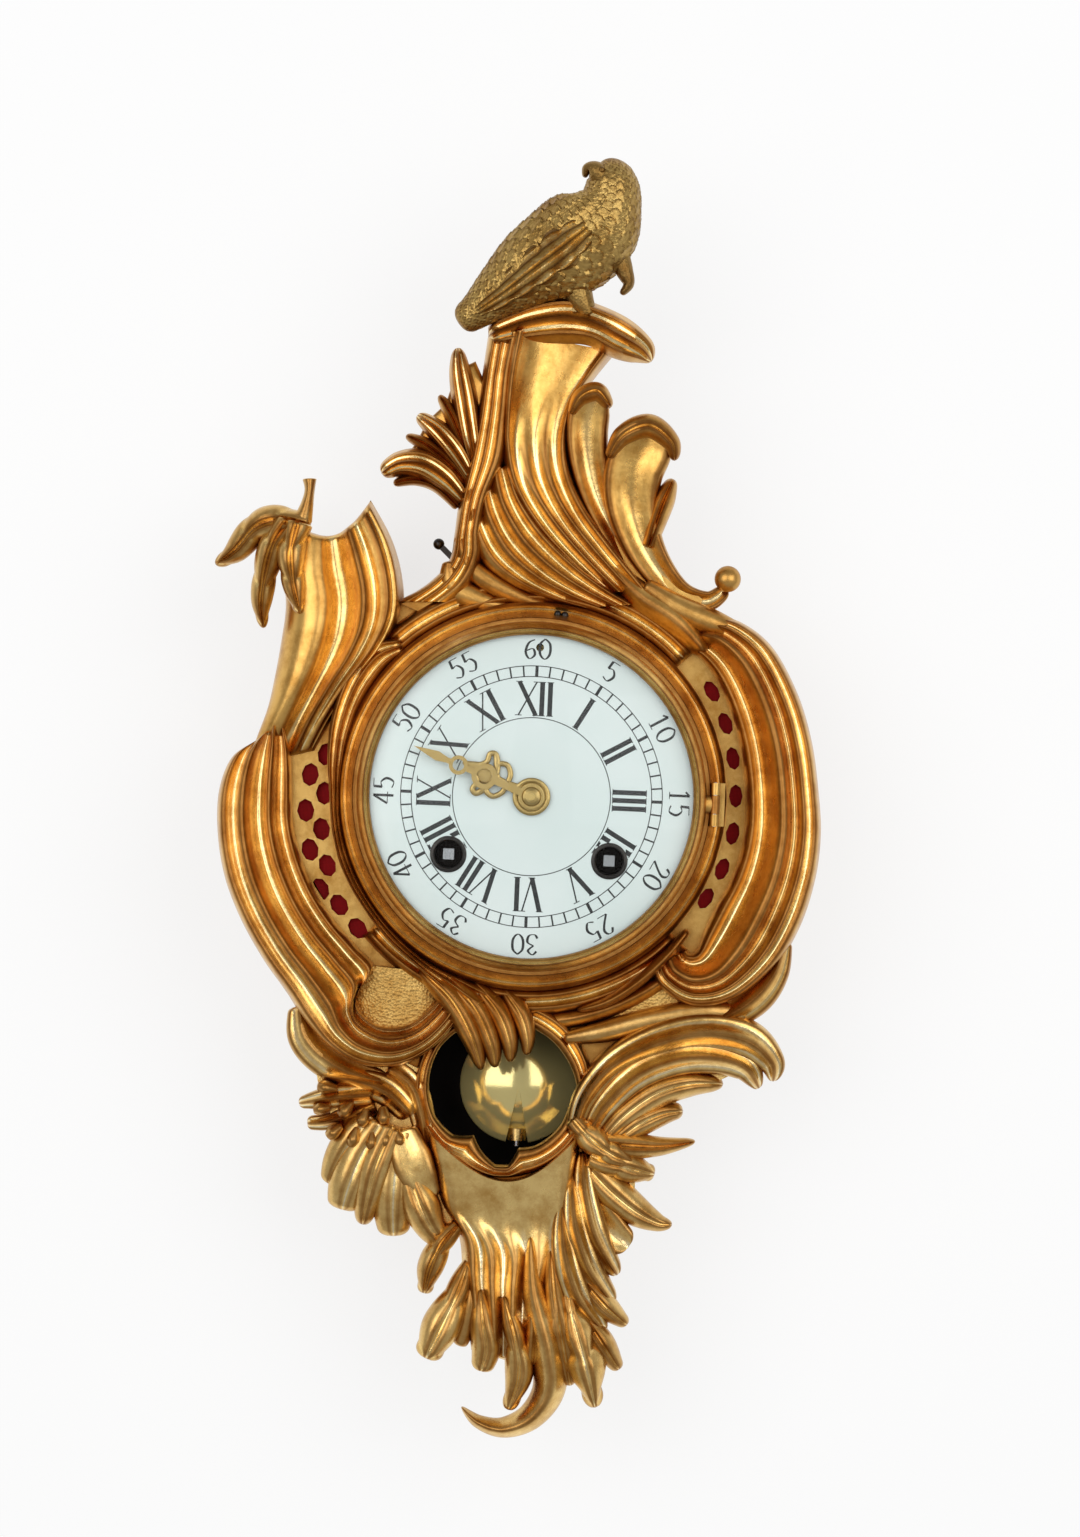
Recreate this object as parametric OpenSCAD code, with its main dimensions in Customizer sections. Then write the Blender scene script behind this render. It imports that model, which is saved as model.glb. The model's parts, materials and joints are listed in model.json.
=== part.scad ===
// Cartel clock: a gilt bronze wall clock with an eight-day striking movement.
// The drawing frame of every module has its origin at the dial centre, x to the right, y up and
// z out of the wall, with z = 0 on the wall. clock() turns it into the part's frame, whose origin
// is the hanging hole on the wall plane, with +Z up and the dial facing -Y.

/* [Hanging and back] */
// Distance from the hanging hole down to the dial centre
hang_drop = 84; // [80:1:90]
// Diameter of the hanging hole in the back strap
hang_hole_d = 6.5; // [5:0.1:9]
// Width of the iron back strap
strap_w = 26; // [22:1:30]
// Thickness of the back strap
strap_t = 2.5; // [2:0.1:4]
// Thickness of the brass back cover
cover_t = 1.5; // [1:0.1:2.5]

/* [Case] */
// How far the round case body reaches past the dial surround, for a surround as drawn
case_margin = 17.5; // [15.5:0.5:19.5]
// Wall of the case body
case_wall = 3; // [2:0.1:4]
// Depth of the case body from its back edge to its front face
case_depth = 50; // [46:0.5:54]
// Outer radius of the pendulum chamber
trunk_r = 38; // [36:0.5:40]
// Width of the neck behind the crest
neck_w = 30; // [26:0.5:34]
// Height of the top of the neck above the dial centre
neck_top = 104; // [98:1:106]

/* [Ornament] */
// How far the side scrolls wrap back around the case
scroll_back = 42; // [20:1:45]
// How far the fluted scroll at the upper left wraps back
flute_back = 32; // [15:1:40]
// How far the crest reaches back behind the case front
crest_back = 14; // [8:1:18]
// How far the sprays reach back behind the case front
spray_back = 14; // [6:1:30]
// How far the apron reaches back behind the case front
apron_back = 22; // [8:1:35]
// Thickness of the web that joins the leaves of one casting
web_t = 4; // [2:0.5:6]
// Thickness of the pierced frets
fret_t = 2; // [1.5:0.1:2.5]
// Thickness of the silk behind the frets
silk_t = 0.4; // [0.2:0.1:0.8]

/* [Dial and bezel] */
// Outer radius of the concave dial surround
surround_r = 64.5; // [64:0.1:66]
// Width of the concave surround outside the bezel
surround_band = 7; // [6.5:0.1:8]
// Thickness of the dial at its edge
dial_t = 1.3; // [1:0.1:2]
// Rise of the dial's dome
dial_rise = 1.2; // [0.5:0.1:1.6]
// Radius of the winding holes in the dial
wind_hole_r = 5.2; // [4.5:0.1:6]
// Sideways distance of the winding holes from the dial centre
wind_x = 26.4; // [26:0.1:27]
// Drop of the winding holes below the dial centre
wind_drop = 20; // [19.6:0.1:20.4]
// How far the bezel reaches past the edge of the enamel dial
bezel_lap = 3; // [2.8:0.1:3.2]
// Height of the bezel above the surround
bezel_h = 6.5; // [5.5:0.1:8]
// Thickness of the glass
glass_t = 1.5; // [1.2:0.1:2]
// Rise of the domed glass
glass_rise = 11; // [10:0.5:14]
// Diameter of the bezel hinge pin
hinge_pin_d = 1.4; // [1:0.1:1.6]

/* [Hands] */
// Length of the hour hand from the dial centre
hour_hand_l = 25.5; // [22:0.5:30]
// Length of the minute hand from the dial centre
minute_hand_l = 42; // [36:0.5:45]
// Hour shown at rest
rest_hour = 9; // [0:1:11]
// Minute shown at rest
rest_minute = 48.5; // [0:0.5:59.5]
// Thickness of the hands
hand_t = 0.8; // [0.5:0.1:0.8]

/* [Movement frame] */
// Distance from the edge of the dial in to the edge of the movement plates
plate_margin = 4.5; // [3.5:0.1:5]
// Thickness of the movement plates
plate_t = 2; // [1.6:0.1:2.6]
// Distance between the movement plates
plate_gap = 30; // [29:0.5:32]
// Radius of the pillars
pillar_r = 3; // [2.4:0.1:3.6]
// Radius of the train arbors
arbor_r = 0.9; // [0.7:0.05:1]
// Radius of the pivots
pivot_r = 0.35; // [0.25:0.05:0.4]
// Running clearance around pivots and shafts
run_gap = 0.04; // [0.02:0.01:0.08]

/* [Pendulum and bell] */
// Height of the pendulum suspension above the dial centre
suspension_y = 31; // [30.5:0.1:31.5]
// How far the middle of the pendulum bob hangs below the edge of the dial surround
bob_drop = 33.1; // [30.5:0.2:35.5]
// Radius of the pendulum bob
bob_r = 20; // [18:0.5:21]
// Thickness of the pendulum bob
bob_t = 11; // [8:0.5:12]
// Radius of the pendulum rod
rod_r = 1.2; // [1:0.05:1.3]
// Radius of the bob window
window_r = 24; // [23:0.5:25]
// Width of the window's raised rim
window_rim_w = 5; // [4:0.5:6]
// Radius of the bell's mouth
bell_r = 30; // [29:0.5:30.5]
// Height of the bell
bell_h = 17; // [14:0.5:18]
// Wall of the bell
bell_t = 2; // [1.5:0.1:2.5]

/* [Hidden] */
$fn = 64;
seat_gap = 0.3;
face_gap = 0.1;

// Radii that follow the surround
bezel_r = surround_r - surround_band;
dial_r = bezel_r - bezel_lap;
plate_r = dial_r - plate_margin;

// The ornament is drawn round a surround of one radius, and the train for plates of another, so
// each is spread in proportion
drawn_surround_r = 64.5;
drawn_plate_r = 50;
spread = surround_r / drawn_surround_r;
train_k = plate_r / drawn_plate_r;
case_r = spread * (drawn_surround_r + case_margin);

// Places of the case, from the dial centre
case_at = spread * [-3, -6];
neck_x = -2;
hang_y = train_k * suspension_y;
bob_y = -surround_r - bob_drop;
window_at = [-5 * spread, bob_y];

// The ornament below the dial is drawn for a bob at one height, and goes up and down with the bob
drawn_bob_y = -97.6;
hung_y = bob_y - spread * drawn_bob_y;

// Planes, counted from the wall
case_back = strap_t + cover_t;
case_front = case_back + case_depth;
bell_z = case_back + 3;
bell_rim_z = bell_z + bell_h;
pendulum_z = bell_rim_z + 5;
back_plate_z = pendulum_z + 7;
plate_in = back_plate_z + plate_t;
front_plate_z = plate_in + plate_gap;
front_face = front_plate_z + plate_t;
dial_z = front_face + 9;
dial_top = dial_z + dial_t + dial_rise;
surround_top = dial_z;
bezel_z = surround_top + seat_gap;
lip_z = bezel_z + 3.6;
bezel_in = bezel_r - 4.5;
rabbet_r = bezel_in + 1;
hour_hand_z = dial_top + 0.8;
minute_hand_z = hour_hand_z + hand_t + 0.9;
collet_z = minute_hand_z + hand_t;

// Movement bore, ledge and ears
bore_r = dial_r - 0.5;
ledge_r = bore_r + 3;
ear_r = ledge_r - 0.4;
ear_w = 9;
ear_angles = [15, 135, 255];
ear_screw_r = bore_r + 1.4;

// Bezel hinge, on the right-hand side
hinge_x = bezel_r + 2.7;
hinge_z = bezel_z + 0.7;
knuckle_r = 1.6;
knuckle_w = 6;
hinge_w = 14.4;

// Tooth counts and modules of the going train
great_n = 72;
great_m = 0.46 * train_k;
second_n = 60;
second_m = 0.42 * train_k;
second_pinion_n = 12;
centre_n = 80;
centre_m = 0.32 * train_k;
centre_pinion_n = 10;
third_n = 75;
third_m = 0.27 * train_k;
third_pinion_n = 7;
escape_pinion_n = 6;
escape_n = 35;
escape_r = 9 * train_k;

// Tooth counts and modules of the strike train
strike_second_n = 72;
strike_second_m = 0.36 * train_k;
pin_n = 60;
pin_m = 0.30 * train_k;
pin_pinion_n = 8;
locking_n = 56;
locking_m = 0.27 * train_k;
locking_pinion_n = 6;
warning_n = 48;
warning_m = 0.25 * train_k;
warning_pinion_n = 7;
fly_pinion_n = 6;

// Motion work, twelve to one
cannon_n = 30;
cannon_m = 0.42 * train_k;
minute_n = 40;
minute_pinion_n = 8;
hour_n = 72;
motion_d = (cannon_n + minute_n) * cannon_m / 2;
hour_m = 2 * motion_d / (minute_pinion_n + hour_n);

function polar(r, a) = [r * cos(a), r * sin(a)];
function angle_of(v) = atan2(v.y, v.x);
function pitch_sum(a, b, m) = (a + b) * m / 2;

// The point at distance ra from a and rb from b, on the left of the way from a to b
function meet(a, ra, b, rb) =
    let (v = b - a, d = norm(v), k = (ra * ra - rb * rb + d * d) / (2 * d))
    let (h = sqrt(ra * ra - k * k))
    a + v * (k / d) + [-v.y, v.x] * (h / d);

// Arbors of the going train
centre_at = [0, 0];
going_at = train_k * [wind_x, -wind_drop];
second_at = meet(going_at, pitch_sum(great_n, second_pinion_n, great_m),
    centre_at, pitch_sum(second_n, centre_pinion_n, second_m));
pallet_at = [0, hang_y];
escape_at = [0, hang_y - 12.12 * train_k];
third_at = meet(escape_at, pitch_sum(third_n, escape_pinion_n, third_m),
    centre_at, pitch_sum(centre_n, third_pinion_n, centre_m));

// Arbors of the strike train, each set off at an angle from the one before
strike_at = [-going_at.x, going_at.y];
strike_angles = [75, 80, 50, 120, 160];
strike_second_at = strike_at
    + polar(pitch_sum(great_n, second_pinion_n, great_m), strike_angles[0]);
pin_at = strike_second_at
    + polar(pitch_sum(strike_second_n, pin_pinion_n, strike_second_m), strike_angles[1]);
locking_at = pin_at + polar(pitch_sum(pin_n, locking_pinion_n, pin_m), strike_angles[2]);
warning_at = locking_at
    + polar(pitch_sum(locking_n, warning_pinion_n, locking_m), strike_angles[3]);
fly_at = warning_at + polar(pitch_sum(warning_n, fly_pinion_n, warning_m), strike_angles[4]);
train_pivots = [second_at, third_at, escape_at, strike_second_at, pin_at, locking_at,
    warning_at, fly_at];

// Other places in the movement
minute_at = [0, -motion_d];
pillar_d = plate_r - 6;
pillar_angles = [0, 90, 180, 270];
feet_r = plate_r - 10;
feet_angles = [60, 200, 300];
foot_r = 1;
dial_pin_at = [0.7, dial_r - 5.5];
bell_at = train_k * [12, 0];
mouth_r = train_k * bell_r;
hammer_at = train_k * [-38, 14];
hammer_reach = train_k * [17, -26];
hammer_arbor_r = 1.2;
hammer_z = bell_rim_z - 5;
pin_circle = 8 * train_k;
lever_at = [-10, plate_r - 4];
lever_knee = spread * [-20, 62];
lever_elbow = spread * [-27, 76];
lever_tip = spread * [-35, 83.5];
lever_z = back_plate_z - 2.5;
lever_t = 2;
lever_stud_r = 1.2;

// Winding arbors and clicks
wind_r = 2.5;
wind_pivot_r = 1.2;
wind_square = 3.6;
ratchet_r = 6;
ratchet_t = 2;
ratchet_n = 16;
click_d = 10;
click_stud_r = 0.8;
barrel_r = 15 * train_k;
barrel_wall = 1.2;
barrel_s = 5;
barrel_l = 15;

// Turns the drawing frame into the part's frame
module clock() {
    translate([0, 0, -hang_drop]) rotate([90, 0, 0]) children();
}

// A disc or tube from plane z0 to plane z1
module disc(at, r, z0, z1) {
    translate([at.x, at.y, z0]) cylinder(r = r, h = z1 - z0);
}

// A flat bar with round ends between two points
module bar(p, q, r) {
    v = q - p;
    translate(p) circle(r = r);
    translate(q) circle(r = r);
    translate(p) rotate(angle_of(v)) translate([0, -r]) square([norm(v), 2 * r]);
}

// A rectangular block from corner a to corner b
module block(a, b) {
    translate(a) cube(b - a);
}

// Teeth. Flanks are straight and thin, which leaves free play at every phase of the mesh.
function teeth(n, m, head, foot, root_w, tip_w) =
    let (pitch = 360 / n, tip = n * m / 2 + head * m, root = n * m / 2 - foot * m)
    [for (i = [0 : n - 1]) each [
        polar(root, (i - root_w) * pitch), polar(tip, (i - tip_w) * pitch),
        polar(tip, (i + tip_w) * pitch), polar(root, (i + root_w) * pitch)]];

// Depth of a pinion's leaves below the pitch circle, in modules
leaf_foot = 1.1;

// A wheel whose first tooth points at the angle a
module wheel(n, m, s, t, a) {
    translate([0, 0, s]) linear_extrude(t) rotate(a) polygon(teeth(n, m, 0.75, 1.2, 0.26, 0.09));
}

// A pinion with a gap between two leaves at the angle a
module pinion(n, m, s, t, a) {
    translate([0, 0, s]) linear_extrude(t) rotate(a + 180 / n)
        polygon(teeth(n, m, 0.6, leaf_foot, 0.2, 0.08));
}

// Root radius of a pinion, which its arbor doesn't pass
function root_r(n, m) = n * m / 2 - leaf_foot * m;

// A steel arbor between the plates, with a pivot at each end
module staff(root) {
    end_play = 0.3;
    translate([0, 0, end_play]) cylinder(r = min(arbor_r, root), h = plate_gap - 2 * end_play);
    translate([0, 0, -plate_t]) cylinder(r = pivot_r, h = plate_gap + 2 * plate_t);
}

// Places its children on an arbor, with z = 0 on the inner face of the back plate
module on_arbor(at) {
    translate([at.x, at.y, plate_in]) children();
}

// Curves and strips of the ornament. A station is [x, y, half width, relief] and, where the strip
// stands clear of the case, its lift above the case front.
curve_steps = 2;
arch = [[-1, 0], [-0.82, 0.66], [-0.32, 1], [0.32, 1], [0.82, 0.66], [1, 0]];

function between(p, i, t) =
    let (last = len(p) - 1, a = p[max(i - 1, 0)], b = p[i])
    let (c = p[min(i + 1, last)], d = p[min(i + 2, last)])
    0.5 * (2 * b + (c - a) * t + (2 * a - 5 * b + 4 * c - d) * t * t
        + (3 * b - a - 3 * c + d) * t * t * t);
function smooth(p) = [
    for (i = [0 : len(p) - 2]) for (k = [0 : curve_steps - 1]) between(p, i, k / curve_steps),
    p[len(p) - 1]];
function full(s) = [spread * s[0], spread * s[1], spread * s[2], s[3], len(s) > 4 ? s[4] : 0];

// One band of cast bronze with an arched face and a flat back, along a smooth curve. Its back lies
// the given depth behind the case front.
module strip(stations, depth = 0) {
    s = smooth([for (q = stations) full(q)]);
    n = len(s);
    k = len(arch);
    rings = [for (i = [0 : n - 1])
        let (a = s[max(i - 1, 0)], b = s[min(i + 1, n - 1)], t = [b.x - a.x, b.y - a.y])
        let (u = [-t.y, t.x] / norm(t))
        [for (q = arch) [s[i].x + u.x * q.x * s[i][2], s[i].y + u.y * q.x * s[i][2],
            case_front + s[i][4] + (q.y > 0 ? q.y * s[i][3] : -depth)]]];
    sides = [for (i = [0 : n - 2]) for (j = [0 : k - 1])
        let (a = i * k + j, b = i * k + (j + 1) % k)
        each [[a, b, b + k], [a, b + k, a + k]]];
    end = (n - 1) * k;
    caps = [for (j = [1 : k - 2]) each [[0, j + 1, j], [end, end + j, end + j + 1]]];
    polyhedron(points = [for (r = rings) each r], faces = concat(sides, caps));
}

// Strips given as a list
module strips(list, depth = 0) {
    for (s = list) strip(s, depth);
}

// Ornament that keeps its place round the bob window
module hung() {
    translate([0, hung_y, 0]) children();
}

// A flat web behind the leaves of one casting
module web(edge, depth = 0) {
    translate([0, 0, case_front - depth]) linear_extrude(web_t + depth) polygon(spread * edge);
}

// A cast piece in one body, kept clear of the case, the dial surround and the bob window's rim
module casting() {
    resize([0, 0, 0]) difference() {
        union() children();
        linear_extrude(case_front) {
            case_plan(-seat_gap);
            neck_plan(-seat_gap);
        }
        disc([0, 0], surround_r + face_gap, 0, 3 * case_front);
        disc(window_at, window_r + window_rim_w + face_gap, 0, 3 * case_front);
    }
}

// A cast piece without its neighbours: the first child less the others
module fitted() {
    resize([0, 0, 0]) difference() {
        children(0);
        children([1 : $children - 1]);
    }
}

// Outlines of the case, the frets and their holes
module case_plan(wall) {
    translate(case_at) circle(r = case_r - wall);
    translate([0, bob_y]) circle(r = trunk_r - wall);
}
module neck_plan(wall) {
    translate([neck_x - neck_w / 2 + wall, 0])
        square([neck_w - 2 * wall, neck_top - wall]);
}

left_fret_edge = [[-62, 22], [-70, 18], [-76, 12], [-79, 2], [-79, -10], [-76, -22], [-71, -33],
    [-64, -43], [-56, -51], [-48, -58], [-40, -56]];
right_fret_edge = [[48, 50], [56, 47], [62, 40], [67, 29], [70, 16], [71, 2], [70, -12],
    [66.5, -25], [61, -35], [54, -43], [46, -48]];
left_fret_holes = [[-69, 11], [-74, 4], [-69, -2], [-75, -8], [-69.5, -14], [-73, -21], [-67, -26],
    [-69, -34], [-62.5, -39], [-56, -46.5]];
right_fret_holes = [[58.5, 37.5], [63.5, 27], [66.5, 15.5], [68, 3], [67.5, -9.5], [64.5, -21.5],
    [59.5, -31.5]];

module fret_plan(edge, inset) {
    difference() {
        polygon(spread * edge);
        circle(r = surround_r + inset);
    }
}
module fret_plate(edge, holes, half_w) {
    translate([0, 0, case_front - fret_t]) linear_extrude(fret_t) difference() {
        fret_plan(edge, face_gap);
        for (h = holes) translate(spread * h) rotate(angle_of(h))
            polygon([for (a = [0 : 45 : 315]) spread * [half_w * cos(a), 3.9 * sin(a)]]);
    }
}
module fret_window(edge) {
    translate([0, 0, case_front - case_wall - 1]) linear_extrude(case_wall + 2)
        fret_plan(edge, 0);
}

// Case
module case_body() {
    color("peru") clock() difference() {
        translate([0, 0, case_back]) linear_extrude(case_depth) {
            case_plan(0);
            neck_plan(0);
        }
        translate([0, 0, case_back - 1]) linear_extrude(case_depth - case_wall + 1) {
            case_plan(case_wall);
            neck_plan(case_wall);
        }
        disc([0, 0], bore_r, case_back, case_front + 1);
        disc(window_at, window_r + 2, case_front - case_wall - 1, case_front + 1);
        fret_window(left_fret_edge);
        fret_window(right_fret_edge);
        lever_slot();
    }
}

// Slot in the case wall through which the repeat lever reaches out
module lever_slot() {
    half = 7;
    across = lever_elbow - lever_knee;
    translate([lever_elbow.x, lever_elbow.y, lever_z - 1]) rotate(angle_of(across))
        block([-norm(across) / 2, -half, 0], [norm(across) / 2, half, lever_t + 2]);
}

module back_strap() {
    bottom = -70;
    top = hang_drop + 12;
    color("dimgray") clock() difference() {
        linear_extrude(strap_t) bar([0, bottom + strap_w / 2], [0, top - strap_w / 2], strap_w / 2);
        disc([0, hang_drop], hang_hole_d / 2, -1, strap_t + 1);
    }
}

module back_cover() {
    color("darkgoldenrod") clock() translate([0, 0, strap_t]) linear_extrude(cover_t) case_plan(0);
}

module dial_surround() {
    f = case_front;
    t = surround_top;
    rise = t - f;
    color("goldenrod") clock() difference() {
        rotate_extrude() polygon([[bore_r, f], [surround_r, f], [surround_r, f + 6],
            [surround_r - 0.6, f + 7.4], [surround_r - 1.8, f + 7.8], [surround_r - 2.8, f + 7],
            [surround_r - 4, f + 0.42 * rise], [bezel_r + 1.8, f + 0.58 * rise],
            [bezel_r + 1, f + 0.78 * rise], [bezel_r + 0.8, t - 2.2], [bezel_r + 1.2, t],
            [ledge_r, t], [ledge_r, front_plate_z], [bore_r, front_plate_z]]);
        for (a = ear_angles)
            disc(polar(ear_screw_r, a), 1 + run_gap, front_plate_z - 8, front_plate_z + 1);
        hinge_notch(0);
    }
}

// Room for the fixed hinge leaf in the surround
module hinge_notch(gap) {
    block([hinge_x - 2.2 + gap, gap - hinge_w / 2, surround_top - 9 + gap],
        [hinge_x + 8, hinge_w / 2 - gap, surround_top + 9]);
}

// Scrolls
left_band = [[-95, 7, 3, 8], [-98.5, 0, 5, 12], [-98.5, -12, 5.5, 13], [-96, -27, 6, 13],
    [-90, -41, 6.5, 13], [-82, -54, 7, 13], [-74, -66, 7.5, 12], [-66, -79, 8.5, 11],
    [-57, -87, 7, 10], [-46, -91, 5.5, 9], [-36, -87, 4.5, 8]];
left_flute = [[-83, 24, 4, 9], [-87, 10, 5, 14], [-88.5, -4, 5.5, 16], [-87.5, -17, 5.5, 17],
    [-83, -30, 5.5, 17], [-76, -42, 5.5, 16], [-68, -53, 5.5, 15], [-60, -61, 5, 13],
    [-51, -66, 4, 10]];
left_rib = [[-77, 19, 3, 8], [-81.5, 8, 3.2, 12], [-82.5, -6, 3.4, 14], [-80, -19, 3.4, 15],
    [-75, -31, 3.4, 15], [-68, -42, 3.4, 14], [-60, -51, 3.2, 12], [-52, -59, 3, 10],
    [-49, -63, 2.4, 8]];
left_bowl = [[-68, -74, 4, 8], [-58, -80, 5, 9], [-47, -81, 5, 9], [-37, -77, 4.5, 8], [-30, -70, 4, 7]];
left_field = [[-58, -69, 5, 5], [-46, -72, 7, 6], [-35, -69, 6, 5]];

module left_scroll_shape() {
    casting() strips([left_band, left_flute, left_rib, left_bowl, left_field], scroll_back);
}
module left_scroll() {
    color("goldenrod") clock() left_scroll_shape();
}

right_band = [[60, 62, 3.5, 8], [73, 54.5, 6, 12], [82, 42, 6.5, 14], [87, 28, 6.5, 15],
    [90, 13, 6.5, 15], [91, -2, 6.5, 15], [90, -17, 6.5, 15], [87, -31, 6.5, 15],
    [81, -44, 6.5, 15], [72, -55, 6.5, 14], [61, -62, 6, 12], [51, -60, 5, 10], [46, -54, 3.5, 8]];
right_flute = [[57, 56, 3.5, 8], [66, 48, 4.5, 13], [74, 36, 5, 16], [79, 22, 5, 17],
    [81.5, 8, 5, 17], [81.5, -7, 5, 17], [79, -21, 5, 17], [74, -34, 5, 16], [66, -44, 5, 14],
    [57, -50, 4.5, 11]];
right_rib = [[54, 52, 2.5, 7], [62, 44, 2.8, 11], [68.5, 33, 3, 14], [73, 20, 3, 15], [75, 6, 3, 15],
    [75, -8, 3, 15], [72.5, -21, 3, 15], [67, -32, 3, 13], [60, -40, 2.8, 11], [54, -46, 2.4, 8]];
right_foot = [[78, -52, 5, 8], [74, -62, 4.5, 8], [70, -70, 4, 7]];

module right_scroll_shape() {
    casting() strips([right_band, right_flute, right_rib, right_foot], scroll_back);
}
module right_scroll() {
    color("goldenrod") clock() right_scroll_shape();
}

// Frets and silk
module left_fret() {
    color("goldenrod") clock() fret_plate(left_fret_edge, left_fret_holes, 2.9);
}
module right_fret() {
    color("goldenrod") clock() fret_plate(right_fret_edge, right_fret_holes, 2.3);
}
module silk_sheet(edge) {
    translate([0, 0, case_front - fret_t - silk_t]) linear_extrude(silk_t)
        fret_plan(edge, face_gap);
}
module left_silk() {
    color("darkred") clock() silk_sheet(left_fret_edge);
}
module right_silk() {
    color("darkred") clock() silk_sheet(right_fret_edge);
}

// Fluted scroll and leaf at the upper left
upper_left_flutes = [
    [[-57, 93, 2.5, 8], [-51.5, 82, 4, 12], [-48.5, 68, 4, 13], [-50, 54, 4, 13], [-56, 41, 4, 12],
        [-64, 29, 3.5, 10], [-70, 18, 2.5, 8]],
    [[-63, 88, 3, 10], [-58.5, 77, 4, 14], [-56, 63, 4, 15], [-57.5, 50, 4, 15], [-63, 38, 4, 13],
        [-69.5, 27, 3.5, 11], [-73, 18, 3, 8]],
    [[-69.5, 86, 3, 9], [-66, 75, 4, 13], [-63.5, 61, 4, 15], [-65, 48, 4, 15], [-70, 36, 4, 13],
        [-75, 26, 3.5, 10], [-77, 20, 3, 8]],
    [[-76, 83, 3.5, 9], [-73, 71, 4, 13], [-71, 58, 4.5, 14], [-73, 46, 4.5, 14], [-77, 34, 4, 12],
        [-80, 25, 3.5, 9]],
    [[-81, 76, 3.5, 8], [-79.5, 64, 4, 11], [-79.5, 52, 4.5, 12], [-82, 40, 4.5, 11],
        [-85, 30, 4, 9], [-88, 20, 3.5, 8], [-90, 12, 3, 7]]];

module upper_left_scroll_shape() {
    fitted() {
        casting() strips(upper_left_flutes, flute_back);
        left_scroll_shape();
    }
}
module upper_left_scroll() {
    color("goldenrod") clock() upper_left_scroll_shape();
}

finial_lobes = [
    [[-78, 100, 2.2, 5, 8], [-78, 94, 1.7, 5, 8], [-79, 88, 3, 6, 8], [-82, 82, 4, 7, 8]],
    [[-79, 86, 4, 7, 8], [-88, 88, 4.5, 8, 8], [-96, 85, 4.5, 7, 6], [-102, 77, 3.5, 5, 2],
        [-107, 72.5, 1.6, 4, 0]],
    [[-83, 86, 4, 8, 9], [-89, 80, 4, 8, 8], [-92, 70, 4, 7, 5], [-92.5, 60, 3, 5, 2],
        [-91.5, 52.5, 1.3, 3, 0]],
    [[-80, 85, 4, 8, 9], [-82, 76, 4, 8, 9], [-81, 66, 3.2, 6, 9], [-79, 57, 1.4, 4, 9]]];

module finial_leaf() {
    color("darkgoldenrod") clock() fitted() {
        casting() strips(finial_lobes);
        upper_left_scroll_shape();
    }
}

// Crest and parrot
crest_bands = [
    [[-21, 152, 2.5, 8], [-22, 138, 3, 9], [-23.5, 122, 3, 9], [-25, 106, 3, 9], [-27, 90, 3, 8],
        [-29, 78, 3, 7], [-35, 69, 3, 6], [-43, 62, 3, 5], [-49, 57, 2, 4]],
    [[-16, 152, 3.5, 12], [-16.5, 138, 3.5, 14], [-16, 122, 3, 14], [-14, 108, 3, 13],
        [-9, 95, 3.2, 12], [0, 83, 3.2, 11], [12, 74, 3, 9], [22, 68, 2.5, 7]],
    [[-9, 153, 4, 14], [-10.5, 140, 4, 16], [-10.5, 126, 3.5, 16], [-7.5, 112, 3.5, 15],
        [-2, 99, 3.5, 14], [7, 87, 3.5, 12], [18, 77, 3, 10], [28, 69, 2.5, 8]],
    [[12, 150, 9, 7], [4, 142, 11, 9], [0, 130, 9, 11], [0, 117, 7, 12], [4, 104, 6, 13],
        [12, 92, 5, 13], [22, 81, 4.5, 11], [32, 70, 3.5, 8]],
    [[-24, 100, 3, 9], [-20, 90, 3.2, 11], [-12, 80, 3.2, 11], [-2, 73, 3, 9], [8, 68, 2.5, 7]],
    [[15, 132, 4.5, 9], [13.5, 121, 5, 14], [15, 108, 4.5, 16], [20, 96, 4, 15], [27, 84, 4, 12],
        [35, 73, 3.5, 9]],
    [[34, 119, 5.5, 10, 2], [30, 109, 7, 14, 2], [29, 98, 6.5, 14, 1], [32, 87, 5.5, 12],
        [38, 76, 4.5, 10], [47, 68, 3.5, 8], [56, 66.5, 3, 8], [62, 70, 3, 8]],
    [[41, 106, 2.5, 6, 3], [39, 100, 3, 8, 2], [37, 92, 3, 7, 1], [36, 84, 2.5, 6]]];
crest_leaves = [
    [[-30, 144, 2.3, 6], [-29, 134, 3.5, 9], [-26, 122, 3.5, 10], [-24, 110, 3, 9]],
    [[-41, 122, 2, 6], [-35, 120, 3.5, 8], [-29, 116, 4, 9], [-24, 108, 3.5, 9]],
    [[-53, 104, 2.2, 5], [-46, 107.5, 3.8, 7], [-37, 109, 4.5, 8], [-29, 106, 4.5, 9],
        [-24, 98, 3.5, 9]]];
crest_roll = [[-20, 153, 3, 8, 4], [-8, 157, 3.5, 10, 5], [6, 157, 4, 11, 6], [18, 155, 4.5, 11, 6],
    [27, 151, 4.5, 9, 5], [32, 147, 2.5, 6, 4]];
crest_web = [[-22, 151], [8, 152], [10, 146], [4, 136], [3, 118], [6, 104], [14, 91], [26, 79], [46, 70],
    [30, 60], [-30, 60], [-27, 90], [-24, 110]];
crest_knob_at = [62, 74.5];
crest_knob_r = 4.3;

module crest_shape() {
    fitted() {
        casting() {
            strips(crest_bands, crest_back);
            strips(crest_leaves, crest_back / 2);
            strip(crest_roll, crest_back);
            web(crest_web, crest_back / 2);
            translate([spread * crest_knob_at.x, spread * crest_knob_at.y, case_front + crest_knob_r])
                sphere(r = crest_knob_r, $fn = 16);
        }
        right_scroll_shape();
        upper_left_scroll_shape();
    }
}
module crest() {
    color("goldenrod") clock() crest_shape();
}

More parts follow.
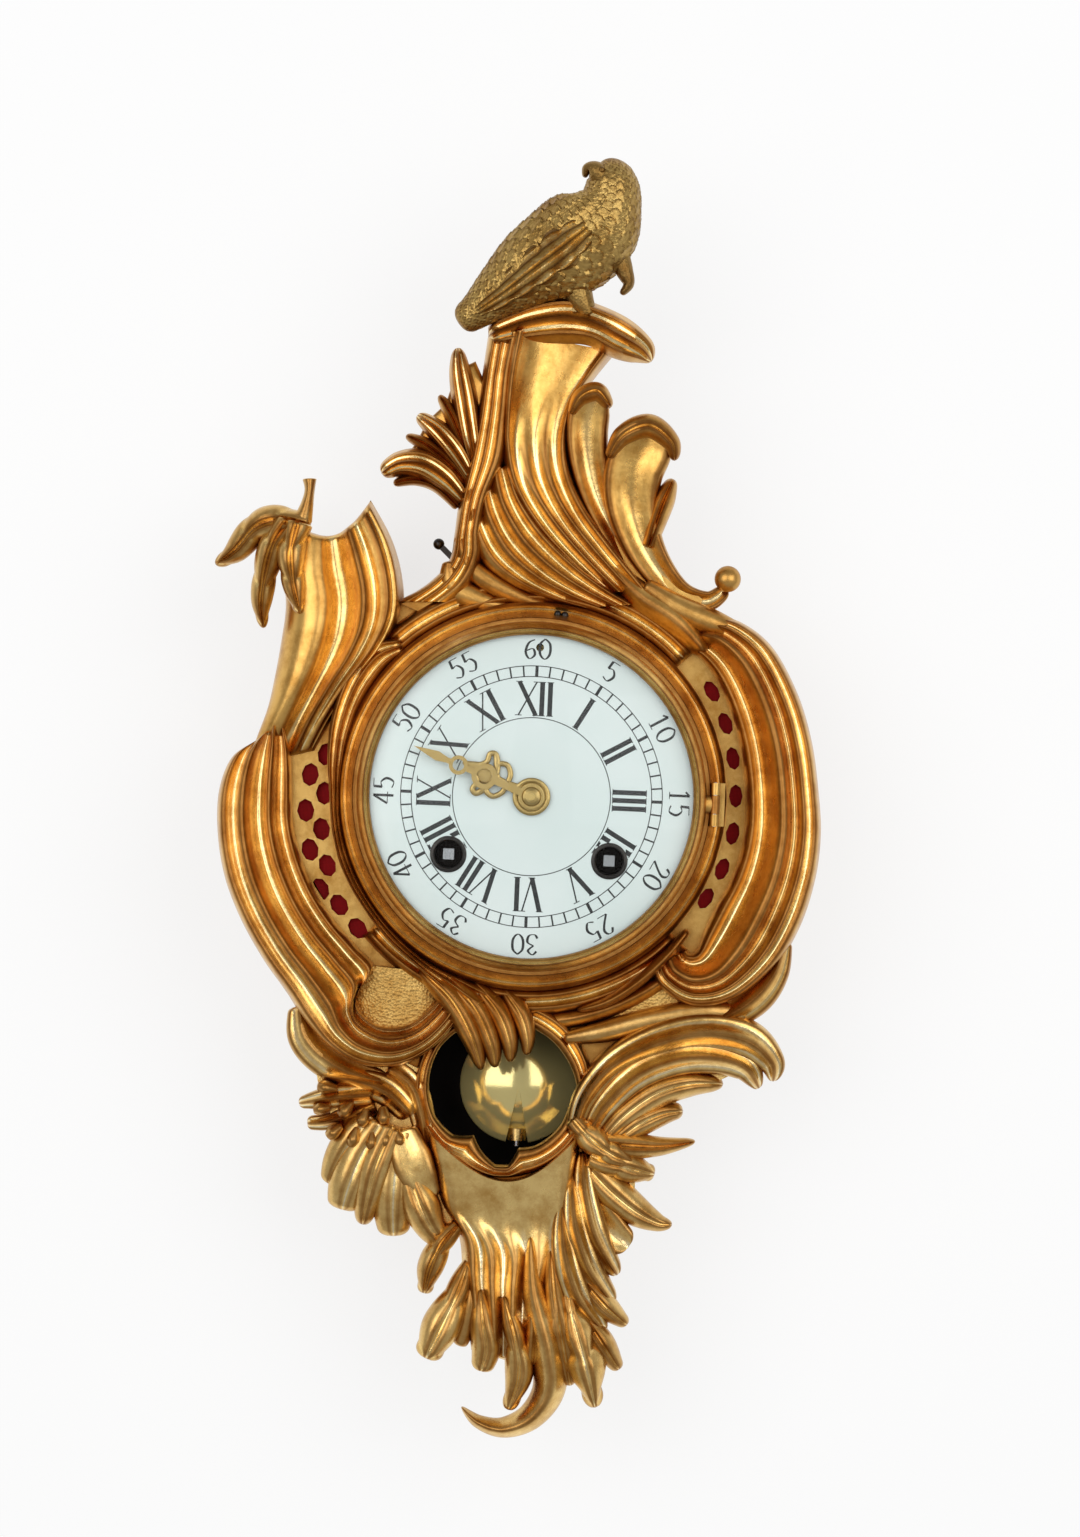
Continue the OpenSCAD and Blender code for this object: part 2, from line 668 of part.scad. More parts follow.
// A swelling limb between two balls [x, y, radius, height above the case front]
module limb(a, b) {
    hull() {
        for (q = [a, b]) translate([spread * q[0], spread * q[1], case_front + q[3]])
            sphere(r = spread * q[2], $fn = 14);
    }
}
parrot_spine = [[-28, 157.5, 4, 9], [-13, 167, 8.5, 11], [2, 179, 13, 13], [12, 190, 12.5, 13],
    [17, 202, 9.5, 12]];
parrot_beak = [[13, 206, 4, 14], [10, 206.5, 2, 14]];
parrot_foot = [[18, 174, 4, 11], [23, 169.5, 2, 10]];
parrot_leg = [[6, 168, 5, 11], [10, 161, 3.5, 10]];

module parrot() {
    color("sienna") clock() fitted() {
        union() {
            for (i = [0 : len(parrot_spine) - 2]) limb(parrot_spine[i], parrot_spine[i + 1]);
            limb(parrot_beak[0], parrot_beak[1]);
            limb(parrot_foot[0], parrot_foot[1]);
            limb(parrot_leg[0], parrot_leg[1]);
        }
        crest_shape();
    }
}

// Bob window with the finger leaves that hang over its top
finger_leaves = [
    [[-29, -63, 3, 8, 4], [-21, -70, 4, 9, 5], [-15.5, -80, 3.5, 8, 6], [-12.5, -90, 1.3, 5, 6]],
    [[-20, -66, 3, 8, 4], [-13, -73, 3.5, 9, 5], [-9, -82, 2.8, 7, 6], [-8, -89, 1.2, 4, 6]],
    [[-11, -67, 3, 8, 4], [-5, -74, 3.2, 8, 5], [-2.5, -81, 2.6, 6, 6], [-3, -87, 1.2, 4, 6]],
    [[-2, -68, 2.5, 7, 4], [2.5, -74, 2.8, 7, 5], [3.5, -80, 2.2, 5, 6], [2.5, -84, 1.2, 4, 6]]];

module window_rim() {
    w = window_rim_w;
    color("goldenrod") clock() resize([0, 0, 0]) difference() {
        union() {
            translate([window_at.x, window_at.y, case_front]) rotate_extrude($fn = 48)
                translate([window_r, 0]) polygon([[0, 0], [w, 0], [w, 3], [0.75 * w, 5], [0.3 * w, 5.5],
                    [0, 4]]);
            hung() strips(finger_leaves);
        }
        disc([0, 0], surround_r + face_gap, 0, 3 * case_front);
        left_scroll_shape();
    }
}

// Sprays beside the window
left_leaves = [
    [[-66, -98, 2, 4], [-55, -97, 4, 8], [-44, -100, 4.5, 9], [-36, -108, 3.5, 7]],
    [[-48, -101, 3.5, 8, 1], [-60, -103, 3.2, 7, 2], [-67, -104.5, 2.6, 5, 2], [-72.5, -106, 1.4, 3, 1]],
    [[-47, -105, 3.5, 8], [-57, -109, 3.2, 6], [-64, -111.5, 2.8, 5], [-69, -112.5, 1.8, 4]],
    [[-48, -108, 3.5, 8], [-56, -117, 4, 8], [-60, -125, 4, 7], [-62, -131, 2, 4]],
    [[-46, -110, 4, 9], [-51, -121, 5, 9], [-55, -132, 5.5, 8], [-58, -138.5, 3, 4]],
    [[-42, -111, 4, 9], [-46, -124, 4.5, 9], [-48.5, -135, 3.8, 7], [-50, -143, 1.8, 4]],
    [[-38, -112, 4, 9], [-39.5, -125, 5.5, 10], [-40, -138, 5.5, 8], [-40, -146.5, 3, 5]],
    [[-37, -114, 4.5, 10, 2], [-34, -122, 6, 11, 2], [-30, -129, 5, 9, 2], [-27, -134, 2.5, 5, 1]],
    [[-34, -130, 4, 8], [-30, -138, 5, 9], [-26, -145, 4, 7], [-22, -149, 2.5, 5]]];

left_web = [[-40, -104], [-56, -108], [-58, -122], [-52, -136], [-40, -140], [-30, -134], [-34, -112]];

module left_spray_shape() {
    fitted() {
        casting() hung() {
            strips(left_leaves, spray_back);
            web(left_web, spray_back / 2);
        }
        left_scroll_shape();
        window_leaf_room();
    }
}
module left_spray() {
    color("goldenrod") clock() left_spray_shape();
}

// Room that the finger leaves take
module window_leaf_room() {
    resize([0, 0, 0]) hung() strips(finger_leaves);
}

right_leaves = [
    [[19, -112, 2.5, 7], [22, -100, 3.5, 10], [31, -89, 4, 12], [45, -82, 4.5, 13], [61, -78, 5, 12],
        [75, -79, 5.5, 10], [83, -86, 3.5, 7]],
    [[23, -113, 2.5, 7], [29, -102, 3.5, 10], [39, -92, 4, 12], [52, -86, 4.5, 12], [65, -85, 4.5, 10],
        [75, -88, 4, 8], [80, -92.5, 2.2, 5]],
    [[27, -115, 2.5, 7], [35, -105, 3.5, 9], [46, -97, 4, 10], [57, -93.5, 3.5, 8], [67, -92.5, 1.8, 5]],
    [[31, -115, 2.5, 6], [40, -108, 3.5, 8], [48, -104, 3.2, 7], [53, -102.5, 2, 4]],
    [[26, -114, 3.5, 8, 2], [37, -114.5, 4, 8, 2], [48, -114.5, 3, 6, 1], [58, -112.5, 1.2, 3]],
    [[24, -118, 4, 9, 2], [33, -120.5, 5, 9, 2], [40, -122.5, 4, 7, 1], [45, -124, 2.2, 4]],
    [[24, -122, 4, 9, 1], [31, -129, 5, 9], [40, -136, 4.5, 8], [48, -140, 2.8, 5], [52, -140.5, 1.2, 3]],
    [[22, -126, 4, 9], [26, -135, 5, 10], [32, -143, 5, 9], [38, -147.5, 3, 6]]];

right_web = [[20, -112], [26, -98], [40, -88], [60, -84], [56, -90], [40, -104], [44, -114], [38, -122],
    [34, -136], [24, -130]];

module right_spray_shape() {
    fitted() {
        casting() hung() {
            strips(right_leaves, spray_back);
            web(right_web, spray_back / 2);
        }
        right_scroll_shape();
    }
}
module right_spray() {
    color("goldenrod") clock() right_spray_shape();
}

// Apron with its flutes, leaves and hooked tail
apron_flutes = [
    [[-24, -122, 4, 7], [-17, -134, 5, 9], [-12, -148, 4.5, 11], [-11, -163, 4, 11], [-13, -178, 3, 7]],
    [[-10, -128, 5, 7], [-6, -141, 5, 10], [-4.5, -156, 4.5, 12], [-3, -170, 4, 11], [-2, -182, 3, 7]],
    [[0, -129, 5, 7], [2, -142, 4.5, 11], [4, -157, 4.5, 13], [6.5, -171, 4, 12], [9, -184, 3.5, 9]],
    [[10, -128, 5, 7], [10, -142, 4.5, 10], [12, -157, 4.5, 12], [14, -172, 4.5, 12], [16, -186, 4, 10]],
    [[17, -123, 4, 7], [18, -138, 4.5, 10], [20.5, -153, 4.5, 11], [24, -166, 4, 10], [26, -178, 3.5, 8]],
    [[22, -130, 3.5, 7], [24, -143, 4, 9], [28.5, -154, 4, 9], [34, -163, 2.5, 6]]];
apron_leaves = [
    [[-21, -146, 3, 7], [-22.5, -156, 4, 9], [-21.5, -167, 4.5, 9], [-23.5, -177, 5, 8],
        [-26.5, -186, 3, 5]],
    [[-23, -154, 3, 6], [-26, -160, 3, 5], [-28, -164.5, 1.6, 3]],
    [[-11, -172, 3.5, 8], [-8, -180, 4, 7], [-9.5, -188, 2, 4]],
    [[6, -182, 3.5, 9], [4.5, -191, 4, 8], [1, -198, 3, 6], [-1.5, -201.5, 1.3, 3]],
    [[25, -166, 4, 8], [28, -177, 5.5, 9], [30, -188, 5, 8], [29.5, -198, 1.8, 4]],
    [[28, -163, 3, 7], [33.5, -168, 2.8, 6], [38.5, -173, 1.2, 3]],
    [[30, -168, 3.5, 7], [34, -178, 3.5, 7], [37, -187, 1.6, 4]],
    [[20, -178, 4.5, 9], [21, -187, 4, 7], [23, -193, 2, 4]]];
apron_tail = [[13, -176, 5, 11], [15, -187, 5.5, 11], [14, -198, 4.5, 10], [8.5, -206.5, 3.8, 8],
    [0, -210.5, 3, 6], [-8.5, -209, 2.2, 5], [-14, -204.5, 1, 3]];

apron_web = [[-20, -128], [20, -124], [26, -140], [28, -165], [26, -180], [16, -190], [8, -185], [-4, -182],
    [-14, -176], [-20, -165], [-18, -145]];

module apron() {
    color("goldenrod") clock() fitted() {
        casting() hung() {
            strips(apron_flutes, apron_back);
            strips(apron_leaves, apron_back / 2);
            strip(apron_tail, apron_back / 2);
            web(apron_web, apron_back / 2);
        }
        left_spray_shape();
        right_spray_shape();
    }
}

// Bezel, glass and hinge
module bezel() {
    z = bezel_z;
    color("gold") clock() difference() {
        union() {
            rotate_extrude() polygon([[dial_r + seat_gap, z], [bezel_r, z], [bezel_r, z + 0.34 * bezel_h],
                [bezel_r - 0.9, z + 0.82 * bezel_h], [bezel_r - 2.3, z + bezel_h],
                [bezel_r - 3.7, z + 0.91 * bezel_h], [bezel_in, z + 0.66 * bezel_h], [bezel_in, lip_z],
                [rabbet_r, lip_z], [rabbet_r, z + 1.7], [dial_r + seat_gap, z + 1.1]]);
            knuckle(-knuckle_w / 2, knuckle_w);
            block([bezel_r - 1.5, -knuckle_w / 2, z + 0.2], [hinge_x, knuckle_w / 2, hinge_z + knuckle_r]);
        }
        hinge_bore(run_gap);
    }
}
module knuckle(y, w) {
    translate([hinge_x, y, hinge_z]) rotate([-90, 0, 0]) cylinder(r = knuckle_r, h = w);
}
module hinge_bore(gap) {
    translate([hinge_x, -hinge_w, hinge_z]) rotate([-90, 0, 0])
        cylinder(r = hinge_pin_d / 2 + gap, h = 2 * hinge_w);
}
module bezel_hinge() {
    w = (hinge_w - knuckle_w) / 2 - seat_gap;
    color("goldenrod") clock() difference() {
        union() {
            intersection() {
                hinge_notch(face_gap);
                block([0, -hinge_w, 0], [surround_r - 1, hinge_w, surround_top - 1.5]);
            }
            for (y = [-hinge_w / 2 + face_gap, hinge_w / 2 - w - face_gap]) {
                knuckle(y, w);
                block([hinge_x - knuckle_r, y, surround_top - 2], [hinge_x + knuckle_r, y + w, hinge_z]);
            }
        }
        hinge_bore(run_gap);
    }
}
module hinge_pin() {
    color("silver") clock() translate([hinge_x, -hinge_w / 2, hinge_z]) rotate([-90, 0, 0])
        cylinder(r = hinge_pin_d / 2, h = hinge_w);
}

// Points of a shallow dome of the given rise over a radius r, from the rim to the axis
function dome(r, rise, z, steps) =
    let (big = (r * r + rise * rise) / (2 * rise), a = asin(r / big))
    [for (i = [steps : -1 : 0]) [big * sin(a * i / steps), z + rise - big + big * cos(a * i / steps)]];
function reversed(p) = [for (i = [len(p) - 1 : -1 : 0]) p[i]];

module glass() {
    r = rabbet_r - face_gap;
    low = lip_z - glass_t;
    flat = bezel_in - 0.2;
    outer = dome(flat, glass_rise, lip_z, 10);
    inner = dome(flat, glass_rise, low, 10);
    color("lightcyan", 0.3) clock() rotate_extrude()
        polygon(concat([[r, low], [r, lip_z]], outer, reversed(inner)));
}

// Dial and hands
module dial() {
    color("white") clock() difference() {
        union() {
            translate([0, 0, dial_z]) rotate_extrude()
                polygon(concat([[0, 0], [dial_r, 0]], dome(dial_r, dial_rise, dial_t, 8)));
            for (a = feet_angles) disc(polar(feet_r, a), foot_r, front_plate_z, dial_z + 0.5);
        }
        disc([0, 0], hour_pipe_r + 0.6, dial_z - 1, dial_top + 1);
        for (p = [going_at, strike_at]) disc(p, wind_hole_r, dial_z - 1, dial_top + 1);
        disc(dial_pin_at, 1.3, dial_z - 1, dial_top + 1);
    }
}

// Radii of the pipes on the centre arbor
centre_front_r = 1.2;
cannon_in = centre_front_r + run_gap;
cannon_out = cannon_in + 0.8;
hour_in = cannon_out + run_gap;
hour_pipe_r = hour_in + 0.8;

minute_angle = 6 * rest_minute;
hour_angle = 30 * (rest_hour + rest_minute / 60);

// A pierced hand: a hub, a stem with two open loops and a pointed tip
module hand_plan(length, hub) {
    loop_y = [0.4, 0.62];
    loop_r = [0.1, 0.075];
    difference() {
        union() {
            circle(r = hub);
            for (i = [0, 1]) translate([0, length * loop_y[i]]) circle(r = length * loop_r[i]);
            polygon([[-1.3, 0], [1.3, 0], [0.9, 0.72 * length], [1.6, 0.8 * length], [0, length],
                [-1.6, 0.8 * length], [-0.9, 0.72 * length]]);
        }
        for (i = [0, 1]) translate([0, length * loop_y[i]]) circle(r = 0.6 * length * loop_r[i]);
    }
}
module hour_hand() {
    color("goldenrod") clock() translate([0, 0, hour_hand_z]) difference() {
        linear_extrude(hand_t) rotate(-hour_angle) hand_plan(hour_hand_l, 5);
        disc([0, 0], hour_pipe_r, -1, hand_t + 1);
    }
}
module minute_hand() {
    color("goldenrod") clock() translate([0, 0, minute_hand_z]) difference() {
        linear_extrude(hand_t) rotate(-minute_angle) hand_plan(minute_hand_l, 4);
        disc([0, 0], cannon_out, -1, hand_t + 1);
    }
}
module hand_collet() {
    color("darkgoldenrod") clock() difference() {
        translate([0, 0, collet_z]) rotate_extrude()
            polygon([[0, 0], [3.2, 0], [2.8, 0.8], [1.9, 1.2], [0, 1.4]]);
        disc([0, 0], centre_front_r + run_gap, collet_z - 1, collet_z + 2);
    }
}

// Movement frame
module plate_blank(z) {
    disc([0, 0], plate_r, z, z + plate_t);
}
module plate_holes(z) {
    low = z - 1;
    high = z + plate_t + 1;
    for (p = train_pivots) disc(p, pivot_r + run_gap, low, high);
    for (a = pillar_angles) disc(polar(pillar_d, a), 0.6 * pillar_r, low, high);
}
module back_plate() {
    z = back_plate_z;
    color("gold") clock() difference() {
        plate_blank(z);
        plate_holes(z);
        disc(centre_at, pivot_r + run_gap, z - 1, z + plate_t + 1);
        disc(pallet_at, 2.5, z - 1, z + plate_t + 1);
        for (p = [going_at, strike_at]) disc(p, wind_pivot_r + run_gap, z - 1, z + plate_t + 1);
        disc(strike_second_at, arbor_r + run_gap, z - 1, z + plate_t + 1);
        disc(hammer_at, hammer_arbor_r + run_gap, z - 1, z + plate_t + 1);
        disc(lever_at, lever_stud_r + run_gap, z - 1, z + plate_t + 1);
    }
}
module front_plate() {
    z = front_plate_z;
    color("gold") clock() difference() {
        union() {
            plate_blank(z);
            intersection() {
                disc([0, 0], ear_r, z, z + plate_t);
                for (a = ear_angles) rotate(a)
                    block([plate_r - 6, -ear_w / 2, z], [ear_r + 1, ear_w / 2, z + plate_t]);
            }
        }
        plate_holes(z);
        disc(centre_at, arbor_r + run_gap, z - 1, z + plate_t + 1);
        for (p = [pallet_at, hammer_at, minute_at])
            disc(p, pivot_r + run_gap, z - 1, z + plate_t + 1);
        for (p = [going_at, strike_at]) disc(p, wind_r + run_gap, z - 1, z + plate_t + 1);
        for (s = [-1, 1]) disc(click_at(s), click_stud_r + run_gap, z - 1, z + plate_t + 1);
        for (a = feet_angles) disc(polar(feet_r, a), foot_r + run_gap, z - 1, z + plate_t + 1);
        for (a = ear_angles) disc(polar(ear_screw_r, a), 1 + run_gap, z - 1, z + plate_t + 1);
    }
}
module pillars() {
    color("gold") clock() for (a = pillar_angles) {
        p = polar(pillar_d, a);
        disc(p, pillar_r, plate_in, front_plate_z);
        disc(p, 0.6 * pillar_r - run_gap, back_plate_z, front_face);
    }
}
module movement_screws() {
    color("slategray") clock() for (a = ear_angles) {
        p = polar(ear_screw_r, a);
        difference() {
            union() {
                disc(p, 1, front_plate_z - 7, front_face);
                disc(p, 1.5, front_face, front_face + 1.4);
            }
            translate([p.x, p.y, front_face + 1.4]) rotate(a) cube([4, 0.5, 1], center = true);
        }
    }
}

// Barrels, springs and winding arbors
module barrel(at, mate) {
    slot = 2;
    color("goldenrod") clock() on_arbor(at) difference() {
        union() {
            wheel(great_n, great_m, 3, 2, angle_of(mate - at));
            translate([0, 0, barrel_s]) cylinder(r = barrel_r, h = barrel_l);
        }
        translate([0, 0, barrel_s + barrel_wall])
            cylinder(r = barrel_r - barrel_wall, h = barrel_l - 2 * barrel_wall);
        translate([0, 0, 2]) cylinder(r = wind_r + run_gap, h = barrel_s + barrel_l);
        translate([barrel_r - 4, -slot / 2, barrel_s + barrel_l - 2]) cube([2.5, slot, 4]);
    }
}
module going_barrel() {
    barrel(going_at, second_at);
}
module strike_barrel() {
    barrel(strike_at, strike_second_at);
}

// A spiral spring strip in its barrel
module mainspring(at) {
    turns = 7;
    strip_t = 0.5;
    steps = 24;
    r0 = wind_r + 1.5;
    r1 = barrel_r - barrel_wall - strip_t - seat_gap;
    edge = [for (i = [0 : turns * steps])
        [r0 + (r1 - r0) * i / (turns * steps), 360 * i / steps]];
    color("steelblue") clock() on_arbor(at) translate([0, 0, barrel_s + barrel_wall + seat_gap])
        linear_extrude(barrel_l - 2 * barrel_wall - 2 * seat_gap)
        polygon(concat([for (e = edge) polar(e[0], e[1])],
            [for (e = reversed(edge)) polar(e[0] + strip_t, e[1])]));
}
module going_mainspring() {
    mainspring(going_at);
}
module strike_mainspring() {
    mainspring(strike_at);
}

// A winding arbor with its ratchet in front of the plate and its square behind the dial hole
module winding_arbor(at) {
    top = plate_gap + plate_t;
    square_drop = 2;
    square_top = dial_z - square_drop - plate_in;
    color("silver") clock() on_arbor(at) {
        translate([0, 0, 0.3]) cylinder(r = wind_r, h = top + 0.6);
        translate([0, 0, -plate_t]) cylinder(r = wind_pivot_r, h = plate_t + 1);
        translate([0, 0, top + 0.5]) linear_extrude(ratchet_t)
            polygon([for (i = [0 : ratchet_n - 1]) each [polar(ratchet_r, i * 360 / ratchet_n),
                polar(ratchet_r - 1, (i + 0.85) * 360 / ratchet_n)]]);
        translate([-wind_square / 2, -wind_square / 2, top + 0.4])
            cube([wind_square, wind_square, square_top - top - 0.4]);
    }
}
module going_arbor() {
    winding_arbor(going_at);
}
module strike_arbor() {
    winding_arbor(strike_at);
}

// Clicks, on the outer side of each ratchet. The side s is 1 for going and -1 for strike.
function click_at(s) = [s * going_at.x, going_at.y] + polar(click_d, s > 0 ? -10 : 190);
function click_nose(s) = [s * going_at.x, going_at.y] + polar(ratchet_r + 1, s > 0 ? 45 : 135);
module click(s) {
    p = click_at(s);
    color("silver") clock() {
        translate([0, 0, front_face + 0.5]) linear_extrude(ratchet_t) {
            bar(p, click_nose(s), 0.6);
            translate(p) circle(r = 1.8);
        }
        disc(p, click_stud_r, front_plate_z, front_face + 1);
    }
}
module going_click() {
    click(1);
}
module strike_click() {
    click(-1);
}

// Going train
module second_wheel() {
    color("goldenrod") clock() on_arbor(second_at) {
        staff(root_r(second_pinion_n, great_m));
        pinion(second_pinion_n, great_m, 1.5, 5.5, angle_of(going_at - second_at));
        wheel(second_n, second_m, 22, 1.4, angle_of(centre_at - second_at));
    }
}
module centre_wheel() {
    color("goldenrod") clock() on_arbor(centre_at) {
        translate([0, 0, 0.3]) cylinder(r = arbor_r + 0.6, h = plate_gap - 0.6);
        translate([0, 0, -plate_t]) cylinder(r = pivot_r, h = plate_t + 1);
        translate([0, 0, 1]) cylinder(r = arbor_r, h = front_face + 1 - plate_in);
        translate([0, 0, front_face + 0.3 - plate_in])
            cylinder(r = centre_front_r, h = collet_z + 2.2 - front_face);
        pinion(centre_pinion_n, second_m, 20.5, 4.5, angle_of(second_at - centre_at));
        wheel(centre_n, centre_m, 9, 1.2, angle_of(third_at - centre_at));
    }
}
module third_wheel() {
    color("goldenrod") clock() on_arbor(third_at) {
        staff(root_r(third_pinion_n, centre_m));
        pinion(third_pinion_n, centre_m, 7.5, 4.5, angle_of(centre_at - third_at));
        wheel(third_n, third_m, 15, 1.2, angle_of(escape_at - third_at));
    }
}
module escape_wheel() {
    color("goldenrod") clock() on_arbor(escape_at) {
        staff(root_r(escape_pinion_n, third_m));
        pinion(escape_pinion_n, third_m, 13, 5, angle_of(third_at - escape_at));
        translate([0, 0, 25]) linear_extrude(1.2)
            polygon([for (i = [0 : escape_n - 1]) each [polar(escape_r - 1.4, (i - 0.2) * 360 / escape_n),
                polar(escape_r, i * 360 / escape_n), polar(escape_r - 1.4, (i + 0.3) * 360 / escape_n)]]);
    }
}

// Anchor with its arbor, and the crutch that reaches down behind the back plate to the rod
crutch_z = pendulum_z + 2.2;
crutch_t = 1.3;
crutch_y = hang_y - 26 * train_k;
module pallet_anchor() {
    prong = rod_r + 0.4;
    color("silver") clock() {
        disc(pallet_at, arbor_r, crutch_z, front_plate_z - 0.3);
        disc(pallet_at, pivot_r, front_plate_z - 1, front_face);
        translate([0, hang_y, plate_in + 24.6]) linear_extrude(2)
            polygon(train_k * [[-1.5, 1.5], [1.5, 1.5], [8.2, -3.8], [8.6, -5.4], [7.4, -5.1], [1, -1.4],
                [-1, -1.4], [-7.4, -5.1], [-8.6, -5.4], [-8.2, -3.8]]);
        block([-0.9, crutch_y, crutch_z], [0.9, hang_y, crutch_z + crutch_t]);
        block([-prong - 1, crutch_y - 2, crutch_z], [prong + 1, crutch_y + 0.5, crutch_z + crutch_t]);
        for (x = [-prong - 1, prong])
            block([x, crutch_y - 2, pendulum_z - 1.5], [x + 1, crutch_y, crutch_z + 0.5]);
    }
}

// Strike train
module strike_second_wheel() {
    color("goldenrod") clock() on_arbor(strike_second_at) {
        staff(root_r(second_pinion_n, great_m));
        translate([0, 0, count_z - plate_in - 0.4])
            cylinder(r = arbor_r, h = plate_in - count_z + 1);
        pinion(second_pinion_n, great_m, 1.5, 5.5, angle_of(strike_at - strike_second_at));
        wheel(strike_second_n, strike_second_m, 22, 1.4, angle_of(pin_at - strike_second_at));
    }
}
module pin_wheel() {
    color("goldenrod") clock() on_arbor(pin_at) {
        staff(root_r(pin_pinion_n, strike_second_m));
        pinion(pin_pinion_n, strike_second_m, 20.5, 4.5, angle_of(strike_second_at - pin_at));
        wheel(pin_n, pin_m, 11, 1.4, angle_of(locking_at - pin_at));
        for (i = [0 : 9]) translate(concat(polar(pin_circle, 36 * i), 12)) cylinder(r = 0.5, h = 2.2);
    }
}
module locking_wheel() {
    color("goldenrod") clock() on_arbor(locking_at) {
        staff(root_r(locking_pinion_n, pin_m));
        pinion(locking_pinion_n, pin_m, 9, 5, angle_of(pin_at - locking_at));
        wheel(locking_n, locking_m, 18, 1.2, angle_of(warning_at - locking_at));
    }
}
module warning_wheel() {
    color("goldenrod") clock() on_arbor(warning_at) {
        staff(root_r(warning_pinion_n, locking_m));
        pinion(warning_pinion_n, locking_m, 16, 5, angle_of(locking_at - warning_at));
        wheel(warning_n, warning_m, 6, 1.2, angle_of(fly_at - warning_at));
    }
}
module fly() {
    vane = 5 * train_k;
    color("goldenrod") clock() on_arbor(fly_at) {
        staff(root_r(fly_pinion_n, warning_m));
        pinion(fly_pinion_n, warning_m, 4, 5, angle_of(warning_at - fly_at));
        block([-vane, -0.3, 12], [vane, 0.3, 27]);
    }
}

// Count wheel behind the back plate, with a notch for each of the twelve hours
count_z = back_plate_z - 3;
count_r = 15 * train_k;
module count_wheel() {
    notch_angles = [for (h = [1 : 12]) 360 * (h * (h + 1) / 2) / 78];
    color("goldenrod") clock() translate([strike_second_at.x, strike_second_at.y, count_z]) difference() {
        union() {
            cylinder(r = count_r, h = 1.5);
            cylinder(r = 3, h = back_plate_z - count_z - 0.3);
        }
        translate([0, 0, -1]) cylinder(r = arbor_r + run_gap, h = 5);
        for (a = notch_angles) rotate(a) translate([count_r - 1.6, -0.7, -1]) cube([3, 1.4, 4]);
    }
}

// Motion work in front of the plate
motion_z = front_face + 0.5;
module cannon_pinion() {
    color("goldenrod") clock() difference() {
        union() {
            translate([0, 0, motion_z]) linear_extrude(1.6) rotate(angle_of(minute_at))
                polygon(teeth(cannon_n, cannon_m, 0.7, 1.1, 0.24, 0.09));
            disc([0, 0], cannon_out, motion_z, collet_z - 0.05);
        }
        disc([0, 0], cannon_in, motion_z - 1, collet_z + 1);
    }
}
module minute_wheel() {
    color("goldenrod") clock() translate([minute_at.x, minute_at.y, 0]) {
        translate([0, 0, motion_z]) linear_extrude(1.6) rotate(angle_of(-minute_at) + 180 / minute_n)
            polygon(teeth(minute_n, cannon_m, 0.7, 1.1, 0.24, 0.09));
        translate([0, 0, motion_z + 1]) linear_extrude(4.4)
            rotate(angle_of(-minute_at) + 180 / minute_pinion_n)
            polygon(teeth(minute_pinion_n, hour_m, 0.6, leaf_foot, 0.2, 0.08));
        translate([0, 0, front_plate_z]) cylinder(r = pivot_r, h = plate_t + 2);
    }
}
module hour_wheel() {
    z = motion_z + 3;
    color("goldenrod") clock() difference() {
        union() {
            translate([0, 0, z]) linear_extrude(1.6) rotate(angle_of(minute_at))
                polygon(teeth(hour_n, hour_m, 0.7, 1.1, 0.26, 0.09));
            disc([0, 0], hour_pipe_r, z, hour_hand_z + hand_t);
        }
        disc([0, 0], hour_in, z - 1, hour_hand_z + hand_t + 1);
    }
}

// Suspension cock, pendulum and bob
cock_arm_z = bell_rim_z + 0.6;
susp_pin_r = 1;
module pendulum_cock() {
    foot_y = hang_y + 6;
    top_y = foot_y + 6;
    half = 4;
    color("gold") clock() difference() {
        union() {
            block([-half, foot_y, cock_arm_z], [half, top_y, back_plate_z]);
            block([-half, hang_y - 2.6, cock_arm_z], [half, foot_y + 1, cock_arm_z + 2]);
            block([-half, hang_y - 2.6, back_plate_z - 2.7], [half, foot_y + 1, back_plate_z - 0.8]);
            disc(pallet_at, susp_pin_r, cock_arm_z, pendulum_z + 1.8);
        }
        disc(pallet_at, arbor_r + run_gap, back_plate_z - 3.2, back_plate_z + 1);
    }
}
module pendulum_rod() {
    eye_r = 2.6;
    eye_h = 3.4;
    bottom = bob_y - bob_r - 1;
    color("steelblue") clock() difference() {
        union() {
            disc(pallet_at, eye_r, pendulum_z - eye_h / 2, pendulum_z + eye_h / 2);
            translate([0, bottom, pendulum_z]) rotate([-90, 0, 0])
                cylinder(r = rod_r, h = hang_y - bottom - 1.6);
        }
        disc(pallet_at, susp_pin_r + run_gap, pendulum_z - eye_h, pendulum_z + eye_h);
    }
}
nut_h = 4;
nut_r = 3.2;
nut_y = bob_y - bob_r + 1;
module pendulum_bob() {
    half = bob_t / 2;
    edge = 1;
    face = dome(bob_r, half - edge, edge, 8);
    color("khaki") clock() difference() {
        translate([0, bob_y, pendulum_z]) rotate_extrude()
            polygon(concat([for (p = reversed(face)) [p.x, -p.y]], face));
        translate([0, bob_y - bob_r - 5, pendulum_z]) rotate([-90, 0, 0])
            cylinder(r = rod_r + run_gap, h = 2 * bob_r + 10);
        block([-nut_r - 0.6, bob_y - bob_r - 1, pendulum_z - bob_t],
            [nut_r + 0.6, nut_y + nut_h, pendulum_z + bob_t]);
    }
}
module rating_nut() {
    color("gold") clock() difference() {
        translate([0, nut_y, pendulum_z]) rotate([-90, 0, 0]) cylinder(r = nut_r, h = nut_h);
        translate([0, nut_y - 1, pendulum_z]) rotate([-90, 0, 0])
            cylinder(r = rod_r + run_gap, h = nut_h + 2);
    }
}

